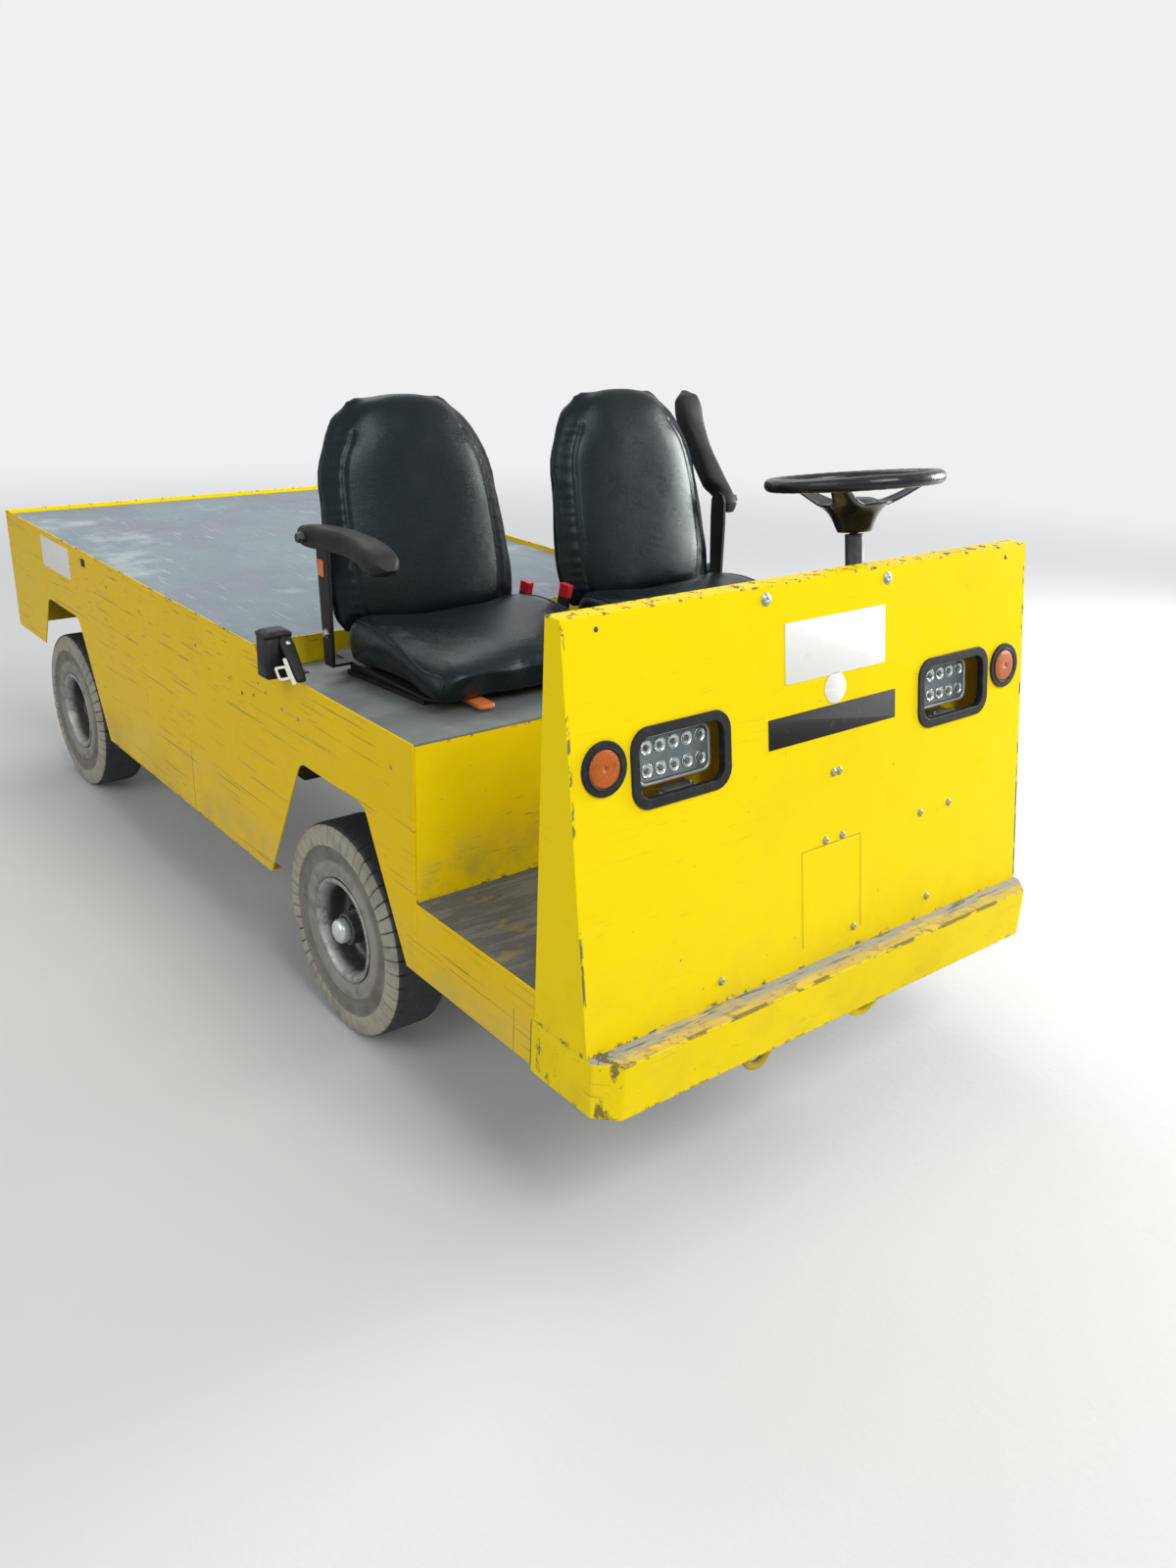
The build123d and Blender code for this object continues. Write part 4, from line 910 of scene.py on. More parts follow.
def cord_mesh(path, radius, sides=8):
    """A thin tube through a list of points."""
    loops = []
    for k, p in enumerate(path):
        ahead = (path[min(k + 1, len(path) - 1)] - path[max(k - 1, 0)]).normalized()
        u = ahead.orthogonal().normalized()
        if loops:
            u = (last - ahead * last.dot(ahead)).normalized()
        last = u
        v = ahead.cross(u)
        loops.append([p + (u * math.cos(2 * math.pi * j / sides) + v * math.sin(2 * math.pi * j / sides)) * radius for j in range(sides)])
    verts = [p for loop in loops for p in loop]
    faces = grid_faces(len(loops), sides) + [tuple(range(sides)), tuple(range(len(verts) - sides, len(verts)))]
    return verts, faces


def welt_on_cushion(skin, shift, s):
    """The seam that borders the side gusset: along the top edge, then down the front corner."""
    path = []
    half, deep = CUSH_HALF[0], CUSH_HALF[1]
    for k in range(41):
        v = 0.90 - 1.62 * k / 40
        rim = flowing(v, FRONT_DROP, 0.12) - flowing(v, SIDE_DROP, 0.12)
        start = Vector((CUSH_MID[0] + s * (half + 0.06), CUSH_MID[1] + v * deep, CUSH_LOW[2] + rim + 0.036))
        hit = skin.ray_cast(start + shift, Vector((-s, 0, -0.75)).normalized())[0]
        if hit:
            path.append(hit)
    for k in range(16):
        z = CUSH_LOW[2] + 0.064 - 0.068 * k / 15
        start = Vector((CUSH_MID[0] + s * (half + 0.05), CUSH_MID[1] - deep - 0.05 + 0.004 * k / 15, z))
        hit = skin.ray_cast(start + shift, Vector((-s, 1.0, 0)).normalized())[0]
        if hit:
            path.append(hit)
    for _ in range(6):
        path = [path[0]] + [(a + b * 2 + c) / 4 for a, b, c in zip(path, path[1:], path[2:])] + [path[-1]]
    return path


def cushion(name, node, body, shift, finish):
    verts, faces = cushion_shape()
    pad = swollen(name, verts, faces, 0.024, 0.006)
    points = [v.co for v in pad.data.vertices]
    low = (CUSH_LOW[0] - 0.010, CUSH_LOW[1] - 0.009, PAN_TOP - SKIRT)
    fit_to(points, low, (CUSH_HIGH[0] + 0.008, CUSH_HIGH[1] + 0.015, CUSH_HIGH[2] + 0.012))
    for p in points:
        u = (p.x - CUSH_MID[0]) / CUSH_HALF[0]
        v = (p.y - CUSH_MID[1]) / CUSH_HALF[1]
        up = (p.z - CUSH_LOW[2]) / 0.110
        top = max(0.0, min(1.0, (up - 0.35) / 0.3))
        bowl = max(0.0, 1 - (abs(u) / 0.80) ** 3.0) * max(0.0, 1 - max(0.0, (v - 0.35) / 0.75) ** 2)
        p.z -= top * 0.015 * bowl
        tuck = max(0.0, min(1.0, 1 - up / 0.75))
        p.y += 0.015 * tuck * max(0.0, -v) ** 4
        p.x -= math.copysign(0.007, u) * tuck * abs(u) ** 4
        inside = min(0.211 - abs(p.x - CUSH_MID[0]), p.y - (CUSH_LOW[1] + 0.026))
        if up < 0.25 and inside > 0:
            p.z = max(p.z, PAN_TOP + 0.0006)
        ahead_of_buckle = max(0.0, min(1.0, (NOSE + 1.000 - p.y) / 0.08))
        p.x += 0.018 * max(0.0, u) ** 3 * ahead_of_buckle
    for p in points:
        p += shift
    sub = pad.modifiers.new("smooth", "SUBSURF")
    sub.levels = 1
    sub.render_levels = 1
    bpy.context.view_layer.update()
    mesh = bpy.data.meshes.new_from_object(pad.evaluated_get(bpy.context.evaluated_depsgraph_get()))
    pad.modifiers.clear()
    pad.data = mesh
    mesh.materials.clear()
    mesh.materials.append(finish.material)
    mesh.polygons.foreach_set("use_smooth", [True] * len(mesh.polygons))
    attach(pad, body)
    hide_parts(node)
    skin = skin_of(pad)
    for s, side_name in ((-1, "outer"), (1, "inner")):
        outward(piece("welt_" + side_name + "_" + name, *cord_mesh(welt_on_cushion(skin, shift, s), 0.0030), finish, body, "seat_vinyl"))
    return pad


cushions = [
    cushion("cushion_right", "seat_cushion_right", "chassis", Vector((0, 0, 0)), vinyl),
    cushion("cushion_left", "seat_cushion_left", "chassis", SHIFT, vinyl),
]
print("cushions:", [len(c.data.polygons) for c in cushions])

# %% [markdown]
# ## Seat backs
# The backs taper towards the top like a shield and lean back 15 degrees. Their front panel is
# framed by a seam about 60 mm in from the edge, and the bolster outside it is gathered into
# small puckers. The outline is a table of half widths up the back, and the front face is crowned
# by a second table of depths.

# %% Seat backs
RECLINE = math.radians(15)
BACK_FOOT, BACK_TOP = -0.064, 0.413
BACK_T = 0.084
SEAM_IN = 0.048
FRONT_LINE = [(-0.064, 0.188), (-0.034, 0.216), (0.030, 0.226), (0.114, 0.227), (0.186, 0.223), (0.256, 0.217), (0.295, 0.205), (0.337, 0.174),
              (0.369, 0.142), (0.396, 0.112), (0.413, 0.084)]
REAR_LINE = [(-0.064, 0.180), (-0.034, 0.212), (0.030, 0.226), (0.114, 0.222), (0.186, 0.214), (0.256, 0.204), (0.319, 0.190), (0.347, 0.178),
             (0.372, 0.164), (0.395, 0.142), (0.406, 0.124), (0.413, 0.104)]
FACE = [(-0.064, 0.012), (-0.036, 0.002), (0.060, 0.0), (0.290, 0.0), (0.360, 0.006), (0.400, 0.020), (0.413, 0.030)]
REAR = [(-0.064, 0.074), (-0.050, 0.084), (0.370, 0.084), (0.402, 0.078), (0.413, 0.066)]
UP = Vector((0, math.sin(RECLINE), math.cos(RECLINE)))
OUT = Vector((0, -math.cos(RECLINE), math.sin(RECLINE)))
BACK_AT = Vector((CUSH_MID[0], NOSE + 1.022, CUSH_LOW[2] + 0.130))


def on_back(across, up, deep):
    """A place on the passenger's seat back: across, up the back, and behind its front face."""
    return BACK_AT + Vector((across, 0, 0)) + UP * up - OUT * deep


def half_back(up, back):
    """Half the back's width at a height: back is 0 on the front face and 1 on the rear."""
    front, rear = flowing(up, FRONT_LINE, 0.018), flowing(up, REAR_LINE, 0.014)
    return front + (rear - front) * back


def seam_of(up):
    """How far from the middle the face's side seam runs; near the top it nears the edge."""
    return half_back(up, 0) - SEAM_IN * max(0.3, min(1.0, (0.44 - up) / 0.12))


def back_shape():
    verts, faces = block_points(PAD_GRID)
    for v in verts:
        ring = max(abs(v.x), abs(v.z))
        full = v * (max(ring, abs(v.y)) / (ring ** 8 + abs(v.y) ** 8) ** 0.125)
        up = BACK_FOOT + (full.z + 1) / 2 * (BACK_TOP - BACK_FOOT)
        back = (full.y + 1) / 2
        half = half_back(up, back) - 0.010
        near, far = flowing(up, FACE, 0.012) + 0.008, flowing(up, REAR, 0.010) - 0.008
        across = abs(full.x) * half
        seam_at = seam_of(up) - 0.010
        bulge = 0.024 * (min(across, seam_at) / seam_at) ** 3.4 + 0.62 * max(0.0, across - seam_at)
        bulge = min(bulge, 0.5 * (far - near))
        deep = near + back * (far - near) + bulge * (1 - back) - 0.25 * bulge * back
        v.x, v.y, v.z = full.x * half, deep, up
    return verts, faces


def seat_back(name, node, body, shift, finish):
    verts, faces = back_shape()
    pad = swollen(name, verts, faces, 0.024, 0.006, 0.03)
    points = [v.co for v in pad.data.vertices]
    for p, place in zip(points, relaxed(numpy.array(points), pad.data, 12)):
        p.x, p.y, p.z = place
    fit_to(points, (-0.229, 0.0, BACK_FOOT), (0.229, BACK_T, BACK_TOP))
    for p in points:
        half = half_back(p.z, 0)
        front = max(0.0, min(1.0, (0.050 - p.y) / 0.02))
        seam_at = seam_of(p.z)
        front = max(front, 1.0 if abs(p.x) > seam_at - 0.02 and p.y < 0.062 else 0.0)
        if p.z < 0.34:
            away = abs(abs(p.x) - seam_at)
            p.y += front * 0.0032 * math.exp(-(away / 0.0050) ** 2)
            outer = max(0.0, min(1.0, (abs(p.x) - seam_at) / 0.02))
            gather = math.sin(p.z * 250 + 2.2 * math.sin(p.z * 41 + (3 if p.x > 0 else 0)) + p.x * 30)
            p.y += front * outer * 0.0012 * gather * math.exp(-((abs(p.x) - seam_at) / 0.028) ** 2)
        p.y += front * 0.0014 * noise.noise(Vector((p.x * 7, p.z * 7, 2.0)))
    for p in points:
        placed = on_back(p.x, p.z, p.y) + shift
        p.x, p.y, p.z = placed
    sub = pad.modifiers.new("smooth", "SUBSURF")
    sub.levels = 1
    sub.render_levels = 1
    bpy.context.view_layer.update()
    mesh = bpy.data.meshes.new_from_object(pad.evaluated_get(bpy.context.evaluated_depsgraph_get()))
    pad.modifiers.clear()
    pad.data = mesh
    mesh.materials.clear()
    mesh.materials.append(finish.material)
    mesh.polygons.foreach_set("use_smooth", [True] * len(mesh.polygons))
    outward(pad)
    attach(pad, body)
    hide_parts(node)
    return pad


backs = [
    seat_back("back_right", "seat_back_right", "chassis", Vector((0, 0, 0)), vinyl),
    seat_back("back_left", "seat_back_left", "chassis", SHIFT, vinyl),
]
print("seat backs:", [len(b.data.polygons) for b in backs])

# %% [markdown]
# ## Lofts, and turned pieces that face any way
# Most of the remaining pieces are lofts: a row of closed outlines with the same number of
# points, joined by quads and capped. Lamps, bolts and knobs are turned about an axis that points
# out of whatever they are fixed to, so they share one function with three directions.

# %% Lofts and turned pieces
X, Y, Z = Vector((1, 0, 0)), Vector((0, 1, 0)), Vector((0, 0, 1))
RAKE = (0.153 - 0.050) / (1.087 - 0.396)
LEAN = math.atan(RAKE)
COWL_UP = Vector((0, math.sin(LEAN), math.cos(LEAN)))
COWL_OUT = Vector((0, -math.cos(LEAN), math.sin(LEAN)))


def on_cowl(x, z, out=0.0):
    """A place on the cowl's raked face, or that far out from it."""
    return point(x, 0.050 + RAKE * (z - 0.396), z) + COWL_OUT * out


def loft(loops, caps=True):
    count = len(loops[0])
    verts = [p for loop in loops for p in loop]
    faces = grid_faces(len(loops), count)
    if caps:
        faces.append(tuple(range(count)))
        faces.append(tuple(range((len(loops) - 1) * count, len(loops) * count)))
    return verts, faces


def slab_outline(width, height, radius, steps=6):
    """A rounded rectangle as a list of (across, up)."""
    radius = min(radius, width / 2, height / 2)
    points = []
    for cx, cy, start in ((1, 1, 0), (-1, 1, 90), (-1, -1, 180), (1, -1, 270)):
        for k in range(steps + 1):
            turn = math.radians(start + 90 * k / steps)
            points.append((cx * (width / 2 - radius) + radius * math.cos(turn), cy * (height / 2 - radius) + radius * math.sin(turn)))
    return points


def ring(centre, u, v, outline):
    return [centre + u * a + v * b for a, b in outline]


def slab(centre, u, v, out, width, height, radius, thick, edge=0.0008):
    """A flat plate with rounded corners and a small rounding round its front edge."""
    loops = [ring(centre, u, v, slab_outline(width, height, radius))]
    loops.append(ring(centre + out * (thick - edge), u, v, slab_outline(width, height, radius)))
    loops.append(ring(centre + out * (thick - edge * 0.3), u, v, slab_outline(width - edge * 0.8, height - edge * 0.8, radius)))
    loops.append(ring(centre + out * thick, u, v, slab_outline(width - edge * 2, height - edge * 2, radius)))
    return loft(loops)


def turned(profile, centre, u, v, out, count=40):
    """A profile of (radius, how far out) turned about the direction out."""
    loops = []
    for radius, height in profile:
        circle = [(radius * math.cos(2 * math.pi * k / count), radius * math.sin(2 * math.pi * k / count)) for k in range(count)]
        loops.append(ring(centre + out * height, u, v, circle))
    return loft(loops)


def button(centre, u, v, out, radius=0.0060):
    """A domed screw head with its recess, on a washer."""
    r = radius
    washer = [(r * 1.35, 0.0), (r * 1.35, 0.0009), (r * 1.28, 0.0012), (r * 1.0, 0.0012)]
    head = [(r, 0.0016), (r * 0.96, 0.0026), (r * 0.80, 0.0036), (r * 0.50, 0.0042), (r * 0.42, 0.0042), (r * 0.38, 0.0030), (r * 0.05, 0.0030)]
    return turned(washer + head, centre, u, v, out, 24)


print("cowl leans", round(math.degrees(LEAN), 1), "degrees")

# %% [markdown]
# ## Seat frames
# Each seat slides on two rails that are bolted to the deck. On them stand two cheeks and a thin
# pan, a plate holds the back from behind, and a tapering flat bar carries the armrest. The solid
# node is a plain block of the same reach, so it is replaced by these thinner sheet parts, all
# set from the deck's slope and the pan's height.

# %% Seat frames
DECK_SLOPE = (0.767 - 0.733) / (1.210 - 0.563)


def deck_at(y):
    """The seat deck's height at a distance behind the bumper's face."""
    return 0.767 - DECK_SLOPE * (y - 0.563)


def side_sheet(outline, x0, x1, edge=0.0008):
    """A sheet that stands fore and aft: its side view, between two places across."""
    middle = sum((point(0, y, z) for y, z in outline), Vector()) / len(outline)
    loops = []
    for x, shrink in ((x0, edge), (x0 + edge, 0.0), (x1 - edge, 0.0), (x1, edge)):
        loop = []
        for y, z in outline:
            p = point(0, y, z)
            p += (middle - p).normalized() * shrink
            p.x = x
            loop.append(p)
        loops.append(loop)
    return loft(loops)


def seat_frame(name, node, shift):
    mid, pan = CUSH_MID[0], PAN_TOP
    front, rear = 0.765, 1.070
    parts = []
    for s in (-1, 1):
        for inner, outer, low, high in ((0.150, 0.196, 0.0003, 0.010), (0.158, 0.188, 0.010, 0.019)):
            ends = [(front, deck_at(front) + low), (rear, deck_at(rear) + low), (rear, deck_at(rear) + high), (front, deck_at(front) + high)]
            x0, x1 = sorted((mid + s * inner, mid + s * outer))
            parts.append(side_sheet(ends, x0, x1))
        x0, x1 = sorted((mid + s * 0.166, mid + s * 0.180))
        cheek = [(front + 0.012, deck_at(front) + 0.018), (rear - 0.004, deck_at(rear) + 0.018), (rear - 0.004, pan - 0.002), (front - 0.020, pan - 0.002)]
        parts.append(side_sheet(cheek, x0, x1))
    pan_mid = point(mid, (0.720 + 1.126) / 2, pan - 0.006)
    parts.append(slab(pan_mid, X, Y, Z, 0.408, 0.406, 0.034, 0.0058, 0.0015))
    plate_mid = on_back(0, 0.035, 0.0846)
    parts.append(slab(plate_mid, X, UP, -OUT, 0.300, 0.286, 0.030, 0.0055, 0.0015))
    post = [(1.030, pan - 0.006), (1.062, pan - 0.006), (1.080, 1.000), (1.081, 1.040), (1.076, 1.054), (1.060, 1.0615), (1.044, 1.054), (1.038, 1.040),
            (1.034, 0.990)]
    parts.append(side_sheet(post, -0.486, -0.478))
    foot = [(1.030, pan - 0.006), (1.062, pan - 0.006), (1.062, pan), (1.030, pan)]
    parts.append(side_sheet(foot, -0.479, mid - 0.200))
    pin = Vector((-0.486, NOSE + 1.060, 1.04046))
    parts.append(turned([(0.0078, 0.0), (0.0078, 0.036)], pin, Y, Z, -X, 24))
    verts, faces = merged(parts)
    if shift:
        verts = [Vector((2 * mid - v.x, v.y, v.z)) + shift for v in verts]
    frame_piece = piece(name, verts, faces, seat_black, "chassis", "seat_frame_steel", (node,), smooth=False)
    return outward(frame_piece)


seat_frame("frame_of_seat_right", "seat_frame_right", None)
seat_frame("frame_of_seat_left", "seat_frame_left", SHIFT)
print("seat frames: 2")

# %% [markdown]
# ## Rubber, plastic, zinc and lens finishes
# Small parts need finishes too. Rubber is matt with grey dust in its pores. Moulded plastic has a
# fine grain and pale scuffs. Zinc is a soft mirror. The lenses are coloured plastic whose prism
# pattern is a bump of small cells, with a faint painted glow of their own colour standing in for light caught inside
# them.

# %% Small finishes
rubber_black = Finish("gasket_rubber", (0.0080, 0.0085, 0.0095), 0.55, Specular_IOR_Level=0.22)
rubber_black.paint(rubber_black.band(rubber_black.noise(60, 5, 0.65), 0.5, 0.75, 0.0, 0.5), (0.07, 0.07, 0.068))
rubber_black.bump(rubber_black.noise(380, 3), 0.0003)
dress("lamp_gaskets", rubber_black, 0.0016)

plastic = Finish("moulded_plastic", (0.0075, 0.0080, 0.0095), 0.42, Specular_IOR_Level=0.22)
plastic.paint(plastic.band(plastic.noise(40, 5, 0.65), 0.52, 0.75, 0.0, 0.45), (0.026, 0.026, 0.026))
plastic.paint(plastic.both(plastic.band(plastic.facing("Z"), 0.3, 1.0), plastic.band(plastic.noise(90, 5, 0.7), 0.45, 0.7, 0.0, 0.5)), (0.060, 0.058, 0.050))
plastic.roughen(plastic.noise(50, 4), 0.32, 0.62)
plastic.bump(plastic.cells(900), 0.00012)

foam_skin = Finish("armrest_skin", (0.0095, 0.0100, 0.0110), 0.50, Specular_IOR_Level=0.20)
foam_skin.paint(foam_skin.both(foam_skin.band(foam_skin.facing("Z"), -0.2, 0.9), foam_skin.band(foam_skin.noise(14, 5, 0.62), 0.35, 0.65, 0.0, 0.65)), (0.034, 0.030, 0.025))
foam_skin.paint(foam_skin.band(foam_skin.noise(120, 4, 0.7), 0.68, 0.74, 0.0, 0.4), (0.08, 0.075, 0.06))
foam_skin.roughen(foam_skin.noise(30, 4), 0.40, 0.66)
foam_skin.bump(foam_skin.cells(700), 0.00018)

wheel_gloss = Finish("wheel_gloss", (0.0075, 0.0085, 0.0125), 0.24, Coat_Weight=0.12, Coat_Roughness=0.12, Specular_IOR_Level=0.3)
wheel_gloss.paint(wheel_gloss.band(wheel_gloss.noise(35, 5, 0.65), 0.52, 0.72, 0.0, 0.4), (0.022, 0.023, 0.027))
wheel_gloss.roughen(wheel_gloss.noise(22, 4), 0.14, 0.42)
wheel_gloss.bump(wheel_gloss.noise(320, 3), 0.0001)

zinc = Finish("zinc", (0.36, 0.37, 0.355), 0.38, metallic=0.9)
zinc.paint(zinc.band(zinc.noise(150, 5, 0.7), 0.5, 0.68, 0.0, 0.7), (0.30, 0.29, 0.26))
zinc.roughen(zinc.noise(120, 4), 0.22, 0.6)
zinc.bump(zinc.noise(500, 3), 0.0002)

bolt_yellow = Finish("bolt_paint", (0.34, 0.31, 0.16), 0.42, metallic=0.4)
bolt_yellow.paint(bolt_yellow.band(bolt_yellow.noise(260, 4, 0.7), 0.48, 0.62, 0.0, 0.8), (0.30, 0.28, 0.24))
bolt_yellow.bump(bolt_yellow.noise(500, 3), 0.0002)


def lens_finish(name, color, deep):
    f = Finish(name, color, 0.26, Coat_Weight=0.08, Specular_IOR_Level=0.25)
    f.paint(f.band(f.noise(55, 4, 0.6), 0.45, 0.72, 0.0, 0.55), deep)
    # A faint emission in the lens colour: a painted glow, not a lit lamp.
    f.shader.inputs["Emission Color"].default_value = (*color, 1)
    f.shader.inputs["Emission Strength"].default_value = 0.06
    f.bump(f.cells(420), 0.0007)
    f.roughen(f.noise(60, 4), 0.18, 0.45)
    return f


amber = lens_finish("amber_lens", (0.40, 0.085, 0.002), (0.22, 0.038, 0.001))
red = lens_finish("red_lens", (0.38, 0.012, 0.010), (0.22, 0.006, 0.006))
red_plastic = Finish("buckle_red", (0.50, 0.012, 0.028), 0.35)
red_plastic.paint(red_plastic.band(red_plastic.noise(120, 4), 0.5, 0.7, 0.0, 0.5), (0.34, 0.012, 0.020))
button_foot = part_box("belt_buckles")[1][2] - 0.030
red_plastic.paint(red_plastic.band(red_plastic.axis("Z"), button_foot + 0.0006, button_foot - 0.0006), (0.014, 0.014, 0.015))
red_plastic.bump(red_plastic.noise(600, 3), 0.0002)
dress("belt_buckles", red_plastic, 0.003)
print("small finishes ready")

# %% [markdown]
# ## Headlights
# Behind each rubber-lined window sits a rectangular LED work lamp, turned a little from the
# window so that its left edge hides behind the rubber. A pale rim frames a grey panel with two
# rows of five bright cups. Below it are a zinc bracket and its bolts, and beside it one sees
# into the dark cowl.

# %% Headlights
LAMP_X, LAMP_UP = 0.3465, 0.003
lamp_rim = Finish("lamp_rim", (0.30, 0.31, 0.30), 0.42, metallic=0.3)
lamp_rim.paint(lamp_rim.band(lamp_rim.noise(90, 4), 0.5, 0.7, 0.0, 0.6), (0.17, 0.17, 0.16))
lamp_rim.bump(lamp_rim.noise(420, 3), 0.0002)
lamp_panel = Finish("lamp_panel", (0.135, 0.165, 0.17), 0.30, metallic=0.35, Coat_Weight=0.35, Coat_Roughness=0.05)
lamp_panel.paint(lamp_panel.band(lamp_panel.noise(45, 5), 0.45, 0.7, 0.0, 0.6), (0.21, 0.24, 0.245))
lamp_panel.bump(lamp_panel.noise(260, 4), 0.0003)
cup_chrome = Finish("cup_chrome", (0.52, 0.56, 0.56), 0.16, metallic=1.0)
cup_chrome.roughen(cup_chrome.noise(160, 4), 0.10, 0.32)
cup_chrome.bump(cup_chrome.cells(300), 0.0004)
led_dark = Finish("led_dark", (0.05, 0.06, 0.06), 0.25)
led_dark.paint(led_dark.band(led_dark.noise(300, 3), 0.45, 0.6, 0.0, 0.7), (0.22, 0.22, 0.12))
led_dark.bump(led_dark.cells(500), 0.0003)

for s, side_name in ((-1, "right"), (1, "left")):
    face = on_cowl(s * (0.3525 - 0.006), 0.838 + LAMP_UP, -0.024)
    W, H = 0.160, 0.084
    def at_depth(back, shrink, radius):
        return ring(face - COWL_OUT * back, X, COWL_UP, slab_outline(W - 2 * shrink, H - 2 * shrink, radius, 8))
    body_loops = [at_depth(0.036, 0.010, 0.010), at_depth(0.030, 0.004, 0.014), at_depth(0.012, 0.002, 0.016), at_depth(0.010, 0.0, 0.017),
                  at_depth(0.0015, 0.0, 0.017), at_depth(0.0, 0.0015, 0.016), at_depth(0.0, 0.0045, 0.014), at_depth(0.0020, 0.0058, 0.013)]
    outward(piece("lamp_body_" + side_name, *loft(body_loops, caps=False), lamp_rim, "chassis", "lamp_housing",
                  ("headlights",)))
    outward(piece("lamp_back_" + side_name, *loft([at_depth(0.036, 0.010, 0.010), at_depth(0.0362, 0.012, 0.010)]), lamp_rim,
                  "chassis", "lamp_housing"))
    panel_loops = [at_depth(0.0060, 0.0060, 0.012), at_depth(0.0032, 0.0060, 0.012), at_depth(0.0030, 0.0075, 0.011)]
    outward(piece("lamp_panel_" + side_name, *loft(panel_loops), lamp_panel, "chassis", "lamp_housing"))
    cups, leds = [], []
    for row in (-1, 1):
        for column in range(-2, 3):
            c = face + X * (column * 0.0290) + COWL_UP * (row * 0.0190 + 0.002)
            cups.append(turned([(0.0122, -0.0032), (0.0122, -0.0018), (0.0116, -0.0012), (0.0106, -0.0012), (0.0100, -0.0020),
                                (0.0088, -0.0026), (0.0062, -0.0028), (0.0052, -0.0029)], c, X, COWL_UP, COWL_OUT, 28))
            leds.append(turned([(0.0054, -0.0030), (0.0054, -0.0022), (0.0045, -0.0016), (0.0028, -0.0012), (0.0010, -0.0011)], c, X, COWL_UP, COWL_OUT, 20))
    outward(piece("lamp_cups_" + side_name, *merged(cups), cup_chrome, "chassis", "lamp_housing"))
    outward(piece("lamp_leds_" + side_name, *merged(leds), led_dark, "chassis", "lamp_housing"))
    foot = on_cowl(s * 0.3465, 0.838 - 0.058, -0.022)
    bracket = [
        slab(foot - COWL_OUT * 0.006 + COWL_UP * 0.006, X, COWL_OUT, COWL_UP * 0.003, 0.060, 0.030, 0.004, 1.0, 0.0),
        slab(foot - X * s * 0.026 - COWL_OUT * 0.006 + COWL_UP * 0.006, COWL_UP, COWL_OUT, X * 0.003, 0.014, 0.020, 0.002, 1.0, 0.0),
    ]
    knobs = [turned([(0.0065, -0.008), (0.0065, 0.004), (0.005, 0.006), (0.0008, 0.006)], foot + X * dx + COWL_UP * 0.001, X, COWL_UP, COWL_OUT, 6)
             for dx in (-0.036, 0.038)]
    outward(piece("lamp_bracket_" + side_name, *merged(bracket + knobs), zinc, "chassis", "lamp_housing", smooth=False))
print("headlights: 2 with", len(cups), "cups each")

# %% [markdown]
# ## Marker and tail lamps
# Both kinds are round lenses pushed into rubber grommets. The grommet has a raised inner ridge.
# The amber lens is slightly domed and has a small dimple in its middle. The red one has
# stepped rings.

# %% Marker and tail lamps
for s, side_name in ((-1, "right"), (1, "left")):
    at = on_cowl(s * 0.5135, 0.855)
    lens = [(0.0308, -0.012), (0.0308, 0.0032), (0.0300, 0.0044), (0.0270, 0.0052), (0.0200, 0.0058), (0.0080, 0.0060),
            (0.0034, 0.0060), (0.0028, 0.0048), (0.0004, 0.0046)]
    outward(piece("marker_lens_" + side_name, *turned(lens, at, X, COWL_UP, COWL_OUT, 64), amber, "chassis", "amber_lens", ("marker_lamps",)))
    ridge = [(0.0345, 0.0040), (0.0340, 0.0058), (0.0330, 0.0062), (0.0318, 0.0056), (0.0312, 0.0040)]
    outward(piece("marker_ridge_" + side_name, *turned(ridge, at, X, COWL_UP, COWL_OUT, 64), rubber_black, "chassis", "rubber_black"))
    rear = point(s * 0.480, 2.966, 0.610)
    collar = [(0.0455, -0.024), (0.0455, -0.0002), (0.0515, 0.0002), (0.0518, 0.0016), (0.0500, 0.0027), (0.0470, 0.0029), (0.0450, 0.0020), (0.0445, 0.0005)]
    outward(piece("tail_grommet_" + side_name, *turned(collar, rear, X, Z, Y, 64), rubber_black, "chassis", "rubber_black", ("tail_lamps",)))
    glow = [(0.0443, 0.0003), (0.0443, 0.0012), (0.0430, 0.0020), (0.0330, 0.0024), (0.0325, 0.0017), (0.0305, 0.0017), (0.0300, 0.0025),
            (0.0180, 0.0027), (0.0175, 0.0019), (0.0155, 0.0019), (0.0150, 0.0028), (0.0010, 0.0029)]
    outward(piece("tail_lens_" + side_name, *turned(glow, rear, X, Z, Y, 64), red, "chassis", "red_lens", ("tail_lamps",)))
print("round lamps: 4")

# %% [markdown]
# ## Armrests
# Each armrest is a drooping pad of self-skinned foam on a steel core. It is thick and wide at the
# nose and narrow at its pin. A row of rounded sections along its length gives it that
# shape: two tables hold its top and bottom edges, and two its inner and outer sides.

# %% Armrests
ARM_PIN = Vector((-0.488, NOSE + 1.060, 1.04046))
PAD_TOP = [(-34, 4), (-30, 14), (-20, 21), (20, 28), (120, 34), (200, 31), (242, 23), (270, 10), (286, -8), (288, -14)]
PAD_LOW = [(-34, -2), (-30, -14), (-10, -21), (20, -20), (120, -15), (205, -19), (242, -29), (262, -30), (280, -25), (288, -17)]
PAD_IN = [(-40, 0), (33, 0), (37, -18), (60, -19), (150, -19), (236, -28), (276, -24), (288, -8)]
PAD_OUT = [(-40, 34), (-34, 38), (60, 34), (150, 28), (236, 38), (276, 34), (288, 14)]


